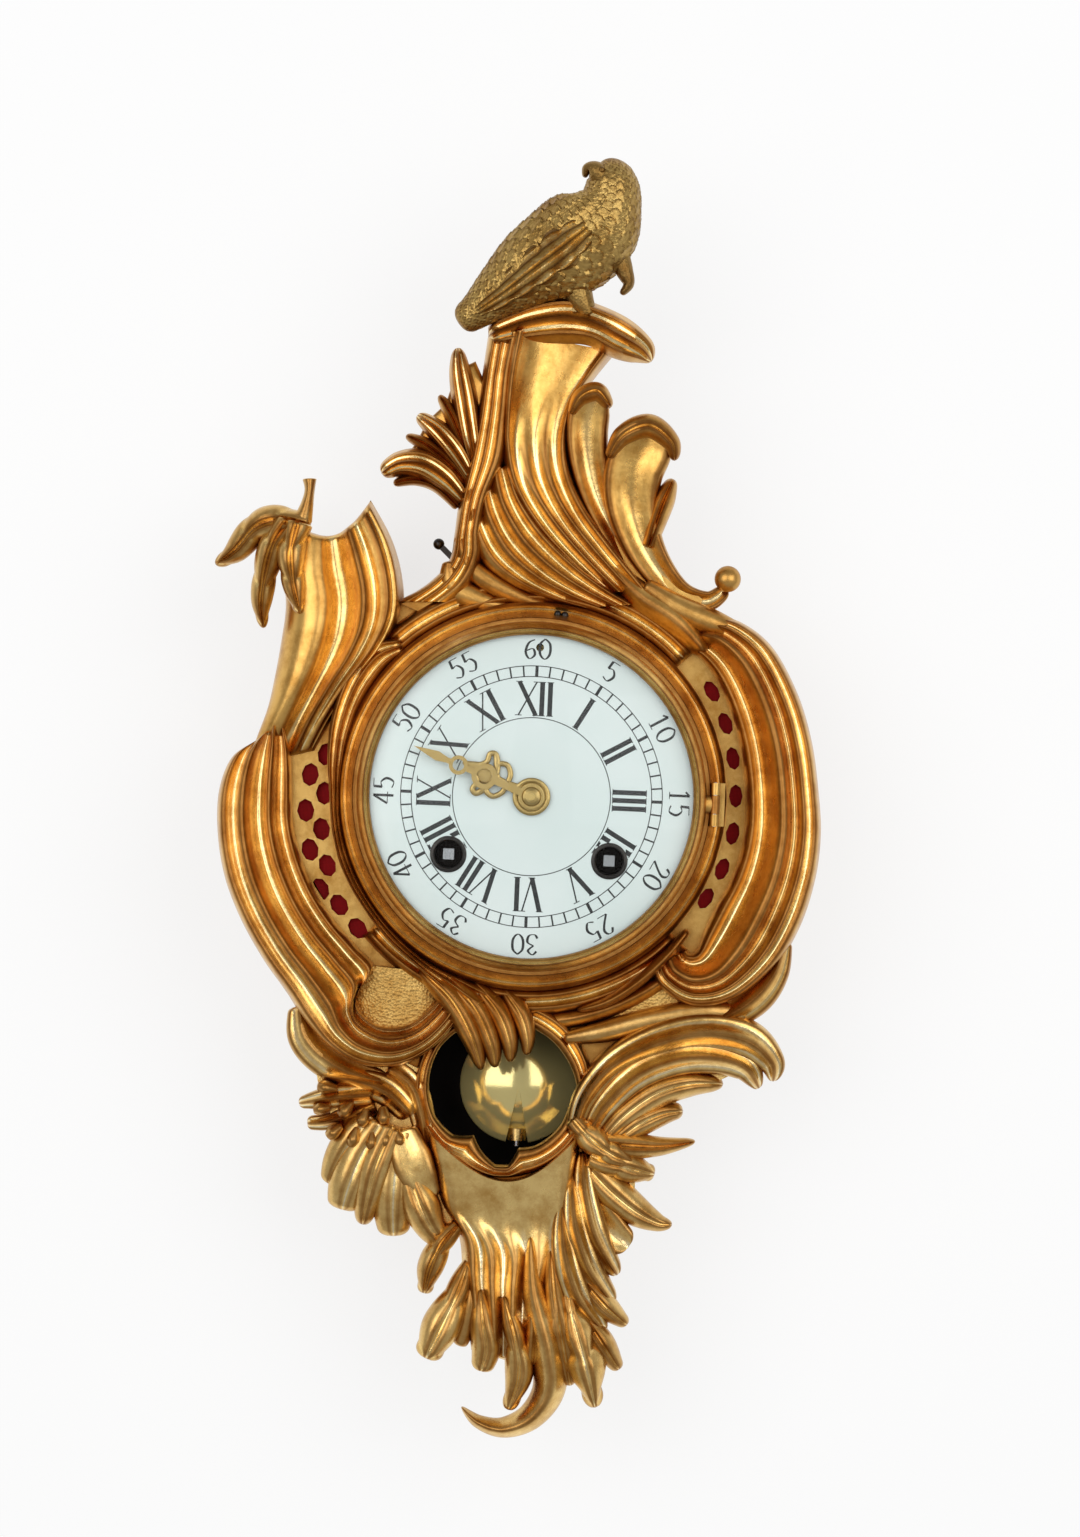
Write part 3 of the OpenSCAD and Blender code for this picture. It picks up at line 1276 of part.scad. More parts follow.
// Bell, its stand and the hammer
bell_post_r = 2.4;
bell_screw_r = 1.5;
module bell() {
    outer = [[0, 0], [5, 0], [0.5 * mouth_r, 0.14 * bell_h], [0.77 * mouth_r, 0.38 * bell_h],
        [0.9 * mouth_r, 0.68 * bell_h], [mouth_r, bell_h]];
    inner = [for (p = outer) [max(p.x - bell_t, 0), min(p.y + bell_t, bell_h)]];
    color("silver") clock() translate([bell_at.x, bell_at.y, bell_z]) difference() {
        rotate_extrude() polygon(concat(outer, reversed(inner)));
        translate([0, 0, -1]) cylinder(r = bell_screw_r + run_gap, h = bell_t + 2);
    }
}
module bell_stand() {
    color("gold") clock() {
        disc(bell_at, bell_post_r, bell_z + bell_t, back_plate_z);
        disc(bell_at, bell_post_r + 2, back_plate_z - 2, back_plate_z);
        disc(bell_at, bell_screw_r, bell_z - 2, bell_z + bell_t + 1);
        disc(bell_at, bell_post_r, bell_z - 2, bell_z);
    }
}
module hammer() {
    head_r = 3;
    head = hammer_at + hammer_reach;
    tail_l = norm(pin_at - hammer_at) - pin_circle - 0.9;
    tail_end = hammer_at + polar(tail_l - 0.8, angle_of(pin_at - hammer_at));
    color("slategray") clock() {
        disc(hammer_at, hammer_arbor_r, hammer_z, front_plate_z - 0.3);
        disc(hammer_at, pivot_r, front_plate_z - 1, front_face);
        translate([0, 0, hammer_z]) linear_extrude(2) bar(hammer_at, head, 1.2);
        disc(head, head_r, hammer_z - 1, hammer_z + 4);
        translate([0, 0, plate_in + 12.6]) linear_extrude(1.4) bar(hammer_at, tail_end, 0.8);
    }
}

// Repeat lever on the back plate
module repeat_lever() {
    color("dimgray") clock() {
        translate([0, 0, lever_z]) linear_extrude(lever_t) {
            bar(lever_at, lever_knee, 1.2);
            bar(lever_knee, lever_elbow, 1.2);
            bar(lever_elbow, lever_tip, 1);
            translate(lever_at) circle(r = 3);
        }
        disc(lever_at, lever_stud_r, lever_z, plate_in - 0.2);
        translate([lever_tip.x, lever_tip.y, lever_z + lever_t / 2]) sphere(r = 1.9);
    }
}

case_body();
back_strap();
back_cover();
dial_surround();
left_scroll();
right_scroll();
left_fret();
right_fret();
left_silk();
right_silk();
crest();
parrot();
upper_left_scroll();
finial_leaf();
window_rim();
left_spray();
right_spray();
apron();
bezel();
glass();
bezel_hinge();
hinge_pin();
dial();
hour_hand();
minute_hand();
hand_collet();
back_plate();
front_plate();
pillars();
movement_screws();
going_barrel();
going_arbor();
going_mainspring();
going_click();
strike_barrel();
strike_arbor();
strike_mainspring();
strike_click();
second_wheel();
centre_wheel();
third_wheel();
escape_wheel();
pallet_anchor();
strike_second_wheel();
pin_wheel();
locking_wheel();
warning_wheel();
fly();
cannon_pinion();
minute_wheel();
hour_wheel();
pendulum_cock();
pendulum_rod();
pendulum_bob();
rating_nut();
bell();
bell_stand();
hammer();
count_wheel();
repeat_lever();
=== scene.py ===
# %% [markdown]
# # A gilt cartel clock
# A cartel is a small wall clock in a cast and gilded bronze case. This lesson dresses its CAD frame:
# the movement keeps its CAD solids and gets finishes, and the cast ornament, the glass, the numerals
# and the silk are made here as surfaces. Everything is placed in the frame's own space, in metres.

# %% Load the frame
import json

import bpy
import numpy as np
from mathutils import Matrix, Vector


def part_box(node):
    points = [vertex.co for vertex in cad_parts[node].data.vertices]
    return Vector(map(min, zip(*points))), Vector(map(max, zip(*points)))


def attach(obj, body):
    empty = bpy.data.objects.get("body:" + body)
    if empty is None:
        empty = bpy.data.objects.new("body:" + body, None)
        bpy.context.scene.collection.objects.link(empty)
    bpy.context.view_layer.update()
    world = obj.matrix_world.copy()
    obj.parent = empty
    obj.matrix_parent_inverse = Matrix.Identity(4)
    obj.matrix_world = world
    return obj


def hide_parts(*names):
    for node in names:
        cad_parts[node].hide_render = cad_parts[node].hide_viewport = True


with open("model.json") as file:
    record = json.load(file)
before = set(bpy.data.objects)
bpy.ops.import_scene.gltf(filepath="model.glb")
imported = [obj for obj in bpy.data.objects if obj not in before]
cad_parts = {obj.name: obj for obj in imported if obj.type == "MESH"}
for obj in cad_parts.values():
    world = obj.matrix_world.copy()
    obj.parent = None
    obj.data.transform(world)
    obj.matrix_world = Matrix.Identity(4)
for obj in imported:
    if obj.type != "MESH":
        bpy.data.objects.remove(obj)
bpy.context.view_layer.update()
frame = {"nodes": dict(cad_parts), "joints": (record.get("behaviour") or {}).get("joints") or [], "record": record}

# %% [markdown]
# ## The drawing frame
# Ornament is drawn on the front of the clock, so points are given as x to the right and y up from the
# dial centre, and out from the wall, all in millimetres. They could be typed in the part's own frame,
# but its depth is negative and its zero is at the hanging hole, which is hard to read off a photo. One
# function turns them into that frame. The dial centre and the case front are read from the frame, so
# that they can't drift from it. Every curve below runs smoothly through a few knots.

# %% Drawing frame
MM = 0.001
JOINTS = {j["name"]: j for j in frame["joints"]}
DROP = -JOINTS["minute_hand_turn"]["pos_m"][2] / MM
FRONT = -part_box("left_fret")[0].y / MM


def place(x, y, out):
    """Points of the drawing frame in metres: x stays, out from the wall becomes -Y and y becomes Z."""
    x, y, out = np.broadcast_arrays(x, y, out)
    return np.stack([x, -out, y - DROP], -1) * MM


def spline(knots, count):
    """Catmull-Rom curve through the knots, with count points at even steps of its parameter."""
    p = np.asarray(knots, float)
    t = np.linspace(0, len(p) - 1, count)
    i = np.minimum(t.astype(int), len(p) - 2)
    f = (t - i)[:, None]
    a, b = p[np.maximum(i - 1, 0)], p[i]
    c, d = p[i + 1], p[np.minimum(i + 2, len(p) - 1)]
    return 0.5 * (2 * b + (c - a) * f + (2 * a - 5 * b + 4 * c - d) * f**2 + (3 * b - a - 3 * c + d) * f**3)


def along(values, count):
    """A smooth run of count numbers through the given values."""
    return spline(np.asarray(values, float)[:, None], count)[:, 0]


print(f"dial centre {DROP:.1f} mm below the hanging hole, case front {FRONT:.1f} mm from the wall")

# %% [markdown]
# ## From grids to meshes
# Each shape below is a grid of points: one direction runs along the shape, and the other runs round
# its closed section. Curve objects and modifiers could sweep sections too, but a grid's faces follow
# from its row and column numbers, and while it is at hand it is easy to measure how sharply it bends:
# ridges, which a gilder burnishes bright, bend outwards, and grooves, which stay matte, bend inwards.
# That number goes on the mesh as an attribute. The gilding makes grooves rougher with it, and also
# paints shade into them as a darker brown.

# %% Faces of a grid
BACK_STEP = 8


def grid_faces(rows, columns, ring):
    """Quads of a grid whose columns close round, and whose rows close too for a ring."""
    index = np.arange(rows * columns).reshape(rows, columns)
    a, b = (index, np.roll(index, -1, 0)) if ring else (index[:-1], index[1:])
    return np.stack([a, np.roll(a, -1, 1), np.roll(b, -1, 1), b], -1).reshape(-1, 4)


def facing(points, quads):
    """The sign of the volume that the quads enclose: negative where they face inwards."""
    p = points.reshape(-1, 3) - points.reshape(-1, 3).mean(0)
    a, b, c, d = (p[quads[:, k]] for k in range(4))
    return np.sign((np.cross(c - a, d - b) * (a + b + c + d)).sum())


def end_faces(kind, rows, columns):
    """Faces that close the first and the last row. A ring has none, an open grid has one flat face at each
    end, and a sheet has a row of small ones, each from BACK_STEP front points to two back points."""
    if kind == "ring":
        return []
    first = [list(range(columns))]
    if kind == "sheet":
        first = []
        for k in range((columns - 1) // (BACK_STEP + 1)):
            front = range(BACK_STEP * k, BACK_STEP * (k + 1) + 1)
            first.append([*front, columns - 2 - k, columns - 1 - k])
    return [face[::-1] for face in first] + [[i + (rows - 1) * columns for i in face] for face in first]


# %% Ridges and grooves
RIDGE_MM = 1.8


def burnish_and_shade(points, sign):
    """How far each grid point stands out from its neighbours round the section, from 0 in a groove to 1 on
    a ridge: the bend, as one over its radius, times a typical radius, through a soft limit."""
    q = points / MM
    step = max(1, points.shape[1] // 40)
    before, after = np.roll(q, step, 1), np.roll(q, -step, 1)
    normal = np.cross(np.gradient(q, axis=0), after - before) * sign
    normal /= np.linalg.norm(normal, axis=2, keepdims=True) + 1e-9
    sag = ((q - 0.5 * (before + after)) * normal).sum(-1)
    reach = np.linalg.norm(after - before, axis=2) / 2 + 1e-6
    return 0.5 + 0.5 * np.tanh(2 * sag / reach**2 * RIDGE_MM)


# %% One mesh from several grids
def piece(name, grids, material, body="case", node=None, sharp=50):
    """One mesh from several grids, each an array of rows x columns x 3, or a pair of it and its kind."""
    points, faces, shine, start = [], [], [], 0
    for g in grids:
        grid, kind = g if isinstance(g, tuple) else (g, "open")
        rows, columns = grid.shape[:2]
        quads = grid_faces(rows, columns, kind == "ring")
        sign = facing(grid, quads)
        new = quads.tolist() + end_faces(kind, rows, columns)
        faces += [[i + start for i in (face if sign > 0 else face[::-1])] for face in new]
        points.append(grid.reshape(-1, 3))
        shine.append(burnish_and_shade(grid, sign).ravel())
        start += rows * columns
    mesh = bpy.data.meshes.new(name)
    mesh.from_pydata(np.concatenate(points), [], faces)
    mesh.attributes.new("burnish_and_shade", "FLOAT", "POINT").data.foreach_set("value", np.concatenate(shine))
    mesh.polygons.foreach_set("use_smooth", np.ones(len(mesh.polygons), bool))
    mesh.set_sharp_from_angle(angle=np.radians(sharp))
    mesh.materials.append(material)
    obj = bpy.data.objects.new(name, mesh)
    bpy.context.scene.collection.objects.link(obj)
    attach(obj, body)
    if node:
        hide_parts(node)
    print(f"{name}: {len(grids)} grids, {len(mesh.polygons)} faces")
    return obj


# %% [markdown]
# ## Finishes
# Fire gilding is gold on bronze: a warm orange gold, burnished to a mirror on the ridges and left
# matte, and browner with age, in the recesses. A picture of real gilding could be wrapped round each
# piece, but it would stretch over the relief. So the finish is worked out from the shape: the ridge
# attribute drives roughness, and colour too, which paints shade into the grooves; noise wears it in
# patches, and an occlusion node paints a red-brown shade into recesses and the places between pieces.

# %% Finish helpers
BLACK, WHITE = (0, 0, 0), (1, 1, 1)


def material_of(name):
    """A new node material, with its tree and its Principled shader."""
    m = bpy.data.materials.new(name)
    m.use_nodes = True
    tree = m.node_tree
    return m, tree, tree.nodes["Principled BSDF"]


def add(tree, kind, **settings):
    """Adds a node; settings set its properties, or its inputs by name with _ for a space."""
    n = tree.nodes.new("ShaderNode" + kind)
    for key, value in settings.items():
        if hasattr(n, key):
            setattr(n, key, value)
        else:
            n.inputs[key.replace("_", " ")].default_value = value
    return n


def feed(tree, value, socket):
    """Links an output to an input socket, or sets the input to a constant."""
    if isinstance(value, bpy.types.NodeSocket):
        tree.links.new(value, socket)
    else:
        socket.default_value = value


def ramp(tree, source, *stops):
    """A colour ramp on a value, with stops (position, colour)."""
    n = tree.nodes.new("ShaderNodeValToRGB")
    while len(n.color_ramp.elements) < len(stops):
        n.color_ramp.elements.new(0.5)
    for element, (at, colour) in zip(n.color_ramp.elements, stops):
        element.position = at
        element.color = (*colour, 1)
    tree.links.new(source, n.inputs["Fac"])
    return n.outputs["Color"]


def spread(tree, source, low, high):
    """Maps a value from 0..1 to low..high."""
    n = add(tree, "MapRange", To_Min=low, To_Max=high)
    tree.links.new(source, n.inputs["Value"])
    return n.outputs["Result"]


def mix(tree, kind, factor, a, b):
    """Mixes two colours by a factor, each an output or a constant. Sockets 6 and 7 take the colours."""
    n = tree.nodes.new("ShaderNodeMix")
    n.data_type = "RGBA"
    n.blend_type = kind
    for value, socket in ((factor, 0), (a, 6), (b, 7)):
        feed(tree, value, n.inputs[socket])
    return n.outputs[2]


def compute(tree, kind, a, b):
    """A sum, product or comparison of two values, each an output or a number."""
    n = add(tree, "Math", operation=kind)
    feed(tree, a, n.inputs[0])
    feed(tree, b, n.inputs[1])
    return n.outputs[0]


def layer(tree, factor, under, over):
    """Two shader nodes mixed by a factor."""
    n = add(tree, "MixShader")
    for value, socket in zip((factor, under.outputs[0], over.outputs[0]), n.inputs):
        tree.links.new(value, socket)
    return n


def object_space(tree):
    """Coordinates in the piece's own space, in metres."""
    return add(tree, "TexCoord").outputs["Object"]


# %% Patterns for finishes
def noise(tree, scale, detail=3.0, rough=0.5):
    """Noise on object coordinates, scale in waves per metre."""
    n = add(tree, "TexNoise", Scale=scale, Detail=detail, Roughness=rough)
    tree.links.new(object_space(tree), n.inputs["Vector"])
    return n.outputs["Fac"]


def stipple(tree, scale):
    """Small punched dots on object coordinates: the distance to the nearest Voronoi point."""
    n = add(tree, "TexVoronoi", Scale=scale)
    tree.links.new(object_space(tree), n.inputs["Vector"])
    return n.outputs["Distance"]


def bump(tree, shader, height, strength, distance):
    """Bump from a height, on the shader's normal."""
    n = add(tree, "Bump", Strength=strength, Distance=distance)
    tree.links.new(height, n.inputs["Height"])
    tree.links.new(n.outputs["Normal"], shader.inputs["Normal"])


# %% Gilded bronze
WORN_TINT = (0.64, 0.52, 0.38, 1)
# Painted shade: the occlusion node darkens recesses and the places between pieces towards this tint, within this
# reach.
OCCLUSION_SHADE_TINT, OCCLUSION_SHADE_REACH = (0.50, 0.29, 0.13), 7 * MM


def gilt(name, recess, middle, bright, rough, dots=0.0, attribute=True):
    """Gilding: colour and roughness follow the ridge attribute, or noise on a CAD node, which has none;
    from the attribute, the colour paints shade into the grooves. Worn patches darken it, and an occlusion
    node paints shade into recesses and between pieces. rough is the roughness in a groove and on a ridge,
    and dots is the strength of a stipple, in place of the grain of the casting."""
    m, tree, shader = material_of(name)
    shader.inputs["Metallic"].default_value = 1.0
    if attribute:
        ridge = add(tree, "Attribute", attribute_name="burnish_and_shade").outputs["Fac"]
    else:
        ridge = noise(tree, 120, 2)
    # Painted shade: the ramp colours grooves a darker brown than the gold of a ridge.
    colour = ramp(tree, ridge, (0.12, recess), (0.46, middle), (0.62, middle), (0.95, bright))
    worn = ramp(tree, noise(tree, 85, 9, 0.74), (0.40, BLACK), (0.64, WHITE))
    aged = mix(tree, "MULTIPLY", worn, colour, WORN_TINT)
    # Painted shade from occlusion, multiplied into the colour.
    occlusion = add(tree, "AmbientOcclusion", samples=6, Distance=OCCLUSION_SHADE_REACH)
    shade = ramp(tree, occlusion.outputs["AO"], (0.12, OCCLUSION_SHADE_TINT), (0.60, WHITE))
    tree.links.new(mix(tree, "MULTIPLY", 1.0, aged, shade), shader.inputs["Base Color"])
    patches = spread(tree, noise(tree, 260, 3), -0.06, 0.08)
    tree.links.new(compute(tree, "ADD", spread(tree, ridge, *rough), patches), shader.inputs["Roughness"])
    if dots:
        bump(tree, shader, stipple(tree, 1100), dots, 0.4 * MM)
    else:
        bump(tree, shader, noise(tree, 420, 6, 0.65), 0.2, 0.5 * MM)
    return m


GILT = gilt("fire_gilt", (0.36, 0.165, 0.042), (0.78, 0.475, 0.135), (0.98, 0.80, 0.42), (0.40, 0.17))
# A paler copy of the gilding: the pieces' own paler, less red gold, and on the lower sprays and apron also painted
# light, where the lamps light them less.
GILT_PALE = gilt("pale_gilt", (0.44, 0.235, 0.070), (0.92, 0.65, 0.250), (1.0, 0.90, 0.62), (0.36, 0.13))
GILT_MATTE = gilt("matte_gilt", (0.42, 0.23, 0.06), (0.66, 0.43, 0.14), (0.84, 0.60, 0.24), (0.55, 0.42),
                  dots=0.8)
GILT_BIRD = gilt("bird_gilt", (0.22, 0.125, 0.038), (0.50, 0.33, 0.105), (0.82, 0.62, 0.28), (0.46, 0.30),
                 dots=0.35)
GILT_PLAIN = gilt("plain_gilt", (0.46, 0.27, 0.075), (0.55, 0.335, 0.10), (0.64, 0.41, 0.14), (0.36, 0.27),
                  attribute=False)
print("gildings:", len(bpy.data.materials))

# %% [markdown]
# ## Other metals
# The movement, the bob, the hands, the strap and the bell are brass, steel, iron and bell metal. One
# recipe with two close colours makes them all, because a single flat colour looks like plastic. The
# arbors behind the winding holes, the inside of the back cover and the pendulum's chamber are painted
# near-black and brown-black, as the shade inside the case. These places could be pieces of their own,
# but a mask on the coordinates needs none.

# %% Other metals
def metal(name, colour, other, rough, scale=300, share=1.0):
    """A plain metal: two close colours and a roughness that drift with noise, and a fine grain. A share
    under 1 stands for a film of lacquer that scatters a little light."""
    m, tree, shader = material_of(name)
    shader.inputs["Metallic"].default_value = share
    cloud = noise(tree, scale, 4)
    tree.links.new(mix(tree, "MIX", cloud, (*colour, 1), (*other, 1)), shader.inputs["Base Color"])
    tree.links.new(spread(tree, cloud, rough * 0.7, rough * 1.35), shader.inputs["Roughness"])
    bump(tree, shader, noise(tree, 1500, 3), 0.06, 0.2 * MM)
    return m


BRASS = metal("movement_brass", (0.74, 0.54, 0.22), (0.62, 0.42, 0.15), 0.28)
BOB = metal("bob_brass", (0.80, 0.68, 0.30), (0.72, 0.60, 0.24), 0.11, 60, 0.6)
HANDS = metal("hand_gilt", (0.56, 0.40, 0.165), (0.36, 0.235, 0.08), 0.34, 700)
STEEL = metal("bright_steel", (0.50, 0.50, 0.52), (0.38, 0.38, 0.40), 0.25)
BLACK_STEEL = metal("black_steel", (0.030, 0.028, 0.028), (0.060, 0.052, 0.048), 0.34)
IRON = metal("black_iron", (0.045, 0.040, 0.036), (0.085, 0.066, 0.050), 0.55, 120)
BELL = metal("bell_metal", (0.62, 0.52, 0.33), (0.50, 0.40, 0.24), 0.22)
OLD_BRASS = metal("old_brass", (0.50, 0.33, 0.13), (0.34, 0.20, 0.07), 0.45, 70)

# %% Painted shade inside the case
# Painted shade: the chamber is brown-black, and the arbors and the inner back cover are near-black, where shade
# falls inside the case.
CHAMBER_SHADE, SHADE_BLACK = (0.012, 0.007, 0.005, 1), (0.012, 0.010, 0.009, 1)
RATCHET_OUT = 4.0
WALL_SLACK = 0.6
bob_low, bob_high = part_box("pendulum_bob")
CHAMBER_AT = 0.5 * (bob_low.z + bob_high.z)
CHAMBER_R = CHAMBER_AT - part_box("case_body")[0].z - WALL_SLACK * MM
ratchet_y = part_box("front_plate")[0].y - RATCHET_OUT * MM
cover_y = 0.5 * (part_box("back_cover")[0].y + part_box("back_cover")[1].y)


def darkened(base, name, dark, mask):
    """A copy of a finish that turns dark where the mask is 1: a function of the tree and its X, Y and Z."""
    m = base.copy()
    m.name = name
    tree, shader = m.node_tree, m.node_tree.nodes["Principled BSDF"]
    parts = add(tree, "SeparateXYZ")
    tree.links.new(object_space(tree), parts.inputs[0])
    bright = shader.inputs["Base Color"].links[0].from_socket
    share = mask(tree, *parts.outputs)
    tree.links.new(mix(tree, "MIX", share, bright, dark), shader.inputs["Base Color"])
    return m


def in_chamber(tree, x, y, z):
    """1 behind the front wall of the case and nearer to the bob's axis than the chamber's wall, else 0."""
    flat = add(tree, "CombineXYZ")
    tree.links.new(x, flat.inputs["X"])
    tree.links.new(z, flat.inputs["Z"])
    reach = add(tree, "VectorMath", operation="DISTANCE")
    tree.links.new(flat.outputs[0], reach.inputs[0])
    reach.inputs[1].default_value = (0, 0, CHAMBER_AT)
    near = compute(tree, "LESS_THAN", reach.outputs["Value"], CHAMBER_R)
    return compute(tree, "MULTIPLY", near, compute(tree, "GREATER_THAN", y, -(FRONT - 1) * MM))


def behind_ratchet(tree, x, y, z):
    """1 on the wall's side of the ratchets, which leaves the winding squares bright."""
    return compute(tree, "GREATER_THAN", y, ratchet_y)


def inside_cover(tree, x, y, z):
    """1 on the inner half of the back cover."""
    return compute(tree, "LESS_THAN", y, cover_y)


# Copies of the finishes with painted shade behind the ratchets, inside the cover and in the chamber.
ARBOR_STEEL = darkened(STEEL, "arbor_steel", SHADE_BLACK, behind_ratchet)
COVER_BRASS = darkened(OLD_BRASS, "cover_brass", SHADE_BLACK, inside_cover)
CASE_GILT = darkened(GILT_PLAIN, "case_gilt", CHAMBER_SHADE, in_chamber)
print(f"chamber of {CHAMBER_R / MM:.1f} mm about the bob's axis")

# %% [markdown]
# ## Enamel, paint, glass and silk
# The dial is white enamel fired on copper, painted in black. Its glass is clear: a refracting shader
# would be truer, but it darkens the dial unless light may bend through it, so a clear sheet with a
# gloss that grows towards its edge is used. The silk is a plain weave of two sets of fine threads.

# %% Enamel and paint
def enamel():
    """White enamel: a faint blue-green cast in slow clouds, under a clear gloss."""
    m, tree, shader = material_of("white_enamel")
    cast = ramp(tree, noise(tree, 30, 3), (0.3, (0.76, 0.83, 0.82)), (0.7, (0.83, 0.875, 0.87)))
    tree.links.new(cast, shader.inputs["Base Color"])
    tree.links.new(spread(tree, noise(tree, 400, 2), 0.12, 0.2), shader.inputs["Roughness"])
    shader.inputs["Coat Weight"].default_value = 0.4
    shader.inputs["Coat Roughness"].default_value = 0.08
    return m


def paint():
    """Black enamel paint, a little worn to brown-grey."""
    m, tree, shader = material_of("dial_black")
    cloud = noise(tree, 900, 3)
    worn = ramp(tree, cloud, (0.3, (0.010, 0.010, 0.012)), (0.8, (0.045, 0.042, 0.042)))
    tree.links.new(worn, shader.inputs["Base Color"])
    tree.links.new(spread(tree, cloud, 0.25, 0.45), shader.inputs["Roughness"])
    return m


# %% Glass finish
def glass():
    """Clear glass: a Fresnel gloss over a clear sheet. The far side of the sheet, whose rays aren't bent
    here, has no gloss, as it would reflect them all from a slanting view."""
    m, tree, shader = material_of("clear_glass")
    clear = add(tree, "BsdfTransparent", Color=(0.975, 0.99, 0.985, 1))
    gloss = add(tree, "BsdfGlossy", Roughness=0.03)
    edge = add(tree, "Fresnel", IOR=1.22).outputs[0]
    near_side = compute(tree, "SUBTRACT", 1.0, add(tree, "NewGeometry").outputs["Backfacing"])
    sheen = layer(tree, compute(tree, "MULTIPLY", edge, near_side), clear, gloss)
    tree.links.new(sheen.outputs[0], tree.nodes["Material Output"].inputs["Surface"])
    tree.nodes.remove(shader)
    return m


# %% Silk finish
def silk():
    """Red silk: two sets of fine threads over a slow shade, with a soft sheen."""
    m, tree, shader = material_of("red_silk")
    threads = []
    for axis in ("X", "Z"):
        wave = add(tree, "TexWave", bands_direction=axis, Scale=700.0, Distortion=0.6)
        tree.links.new(object_space(tree), wave.inputs["Vector"])
        threads.append(wave.outputs["Fac"])
    weave = compute(tree, "MULTIPLY", *threads)
    red = ramp(tree, weave, (0, (0.20, 0.002, 0.004)), (1, (0.42, 0.006, 0.009)))
    shade = ramp(tree, noise(tree, 90), (0.3, (0.6, 0.6, 0.6)), (0.7, WHITE))
    tree.links.new(mix(tree, "MULTIPLY", 0.5, red, shade), shader.inputs["Base Color"])
    shader.inputs["Roughness"].default_value = 0.75
    shader.inputs["Specular IOR Level"].default_value = 0.12
    shader.inputs["Sheen Weight"].default_value = 0.08
    bump(tree, shader, weave, 0.3, 0.1 * MM)
    return m


ENAMEL, PAINT, GLASS, SILK = enamel(), paint(), glass(), silk()
print("finishes:", len(bpy.data.materials))

# %% [markdown]
# ## Finishes on the frame
# The movement, the dial, the minute hand, the frets and the strap already have the right shape in the
# CAD, so they keep it and only get a finish. The record names a material slot for each node, and a
# table from slots to finishes is shorter and safer than a line for each of the sixty nodes.

# %% Dress the CAD nodes
SLOT_FINISH = {
    "gilt_bronze": GILT_PLAIN, "patinated_bronze": GILT_BIRD, "gilt_brass": HANDS, "red_silk": SILK,
    "enamel": ENAMEL, "clear_glass": GLASS, "polished_brass": BOB, "black_iron": IRON,
    "black_steel": BLACK_STEEL, "bell_metal": BELL, "steel": STEEL, "movement_brass": BRASS,
}
NODE_FINISH = {"case_body": CASE_GILT, "back_cover": COVER_BRASS, "going_arbor": ARBOR_STEEL,
               "strike_arbor": ARBOR_STEEL}
for part in frame["record"]["subparts"]:
    node_object = frame["nodes"][part["node"]]
    node_object.data.materials.clear()
    node_object.data.materials.append(NODE_FINISH.get(part["node"], SLOT_FINISH[part["material_slot"]]))

# %% [markdown]
# ## Three ways to draw cast ornament
# Nearly all of the case is one of three shapes. A moulded sheet is a section of ridges and coves,
# carried between two edge curves that a chaser would scribe first. A leaf is a lens-shaped section
# along a curved spine, with lobes, veins or a hollow. A turned piece is a profile about an axis.
# Sculpting would be freer, but three short functions keep every edge where the photo shows it.

# %% Rolled ends
def rolled(u, start, stop):
    """A quarter circle from 0 at each end of a strip to 1, over the given shares of its length."""
    k = np.clip(np.minimum(u / max(start, 1e-6), (1 - u) / max(stop, 1e-6)), 0, 1)
    return np.sqrt(1 - (1 - k) ** 2)


# %% Moulded sheets
TAKE_FROM, TAKE_TO = 0.15625, 0.78125


def sheet(left, right, section, height=(1, 1), lift=(0, 0), back=4.0, bow=0.0, end=None, ends=(0, 0),
          count=110, across=89):
    """A section between two edges. A section knot is (share of the way from left to right, height in mm);
    its height is scaled along the sheet, and its back lies back mm, or a list of depths along it, behind
    the case front. A second section, end, takes over smoothly towards the end, bow pulls the start in
    between the edges, and ends are the shares over which it rolls down to the case front. The back has
    one point for every BACK_STEP of the front, so across is a multiple of it and one more."""
    a, b = spline(left, count)[:, None], spline(right, count)[:, None]
    u = np.linspace(0, 1, count)[:, None]
    s = spline(section, across)[None]
    if end is not None:
        k = np.clip((u - TAKE_FROM) / (TAKE_TO - TAKE_FROM), 0, 1)[..., None]
        k = k * k * (3 - 2 * k)
        s = s * (1 - k) + spline(end, across)[None] * k
    share = np.broadcast_to(s[..., 0], (count, across))
    back_share = np.minimum.accumulate(share[:, :: -BACK_STEP], 1)
    share = np.concatenate([share, back_share], 1)
    rise = s[..., 1] * along(height, count)[:, None] * rolled(u, *ends)
    deep = along((back, back) if np.isscalar(back) else back, count)[:, None]
    rise = np.concatenate([rise, np.broadcast_to(-deep, back_share.shape)], 1)
    pull = bow * np.sin(np.pi * share) * (1 - u) ** 3
    way = (b[1] + a[1] - b[0] - a[0])[0]
    way /= np.linalg.norm(way)
    x = a[..., 0] + (b - a)[..., 0] * share + pull * way[0]
    y = a[..., 1] + (b - a)[..., 1] * share + pull * way[1]
    return place(x, y, FRONT + along(lift, count)[:, None] + rise), "sheet"


# %% Leaves
TIP_LEFT, TIP_SHARE = 0.02, 0.12
VEIN_WIDE, FLUTE_DEEP = 0.15, 0.16
LOBE_SLANT, LOBE_RIB = 0.16, 0.3


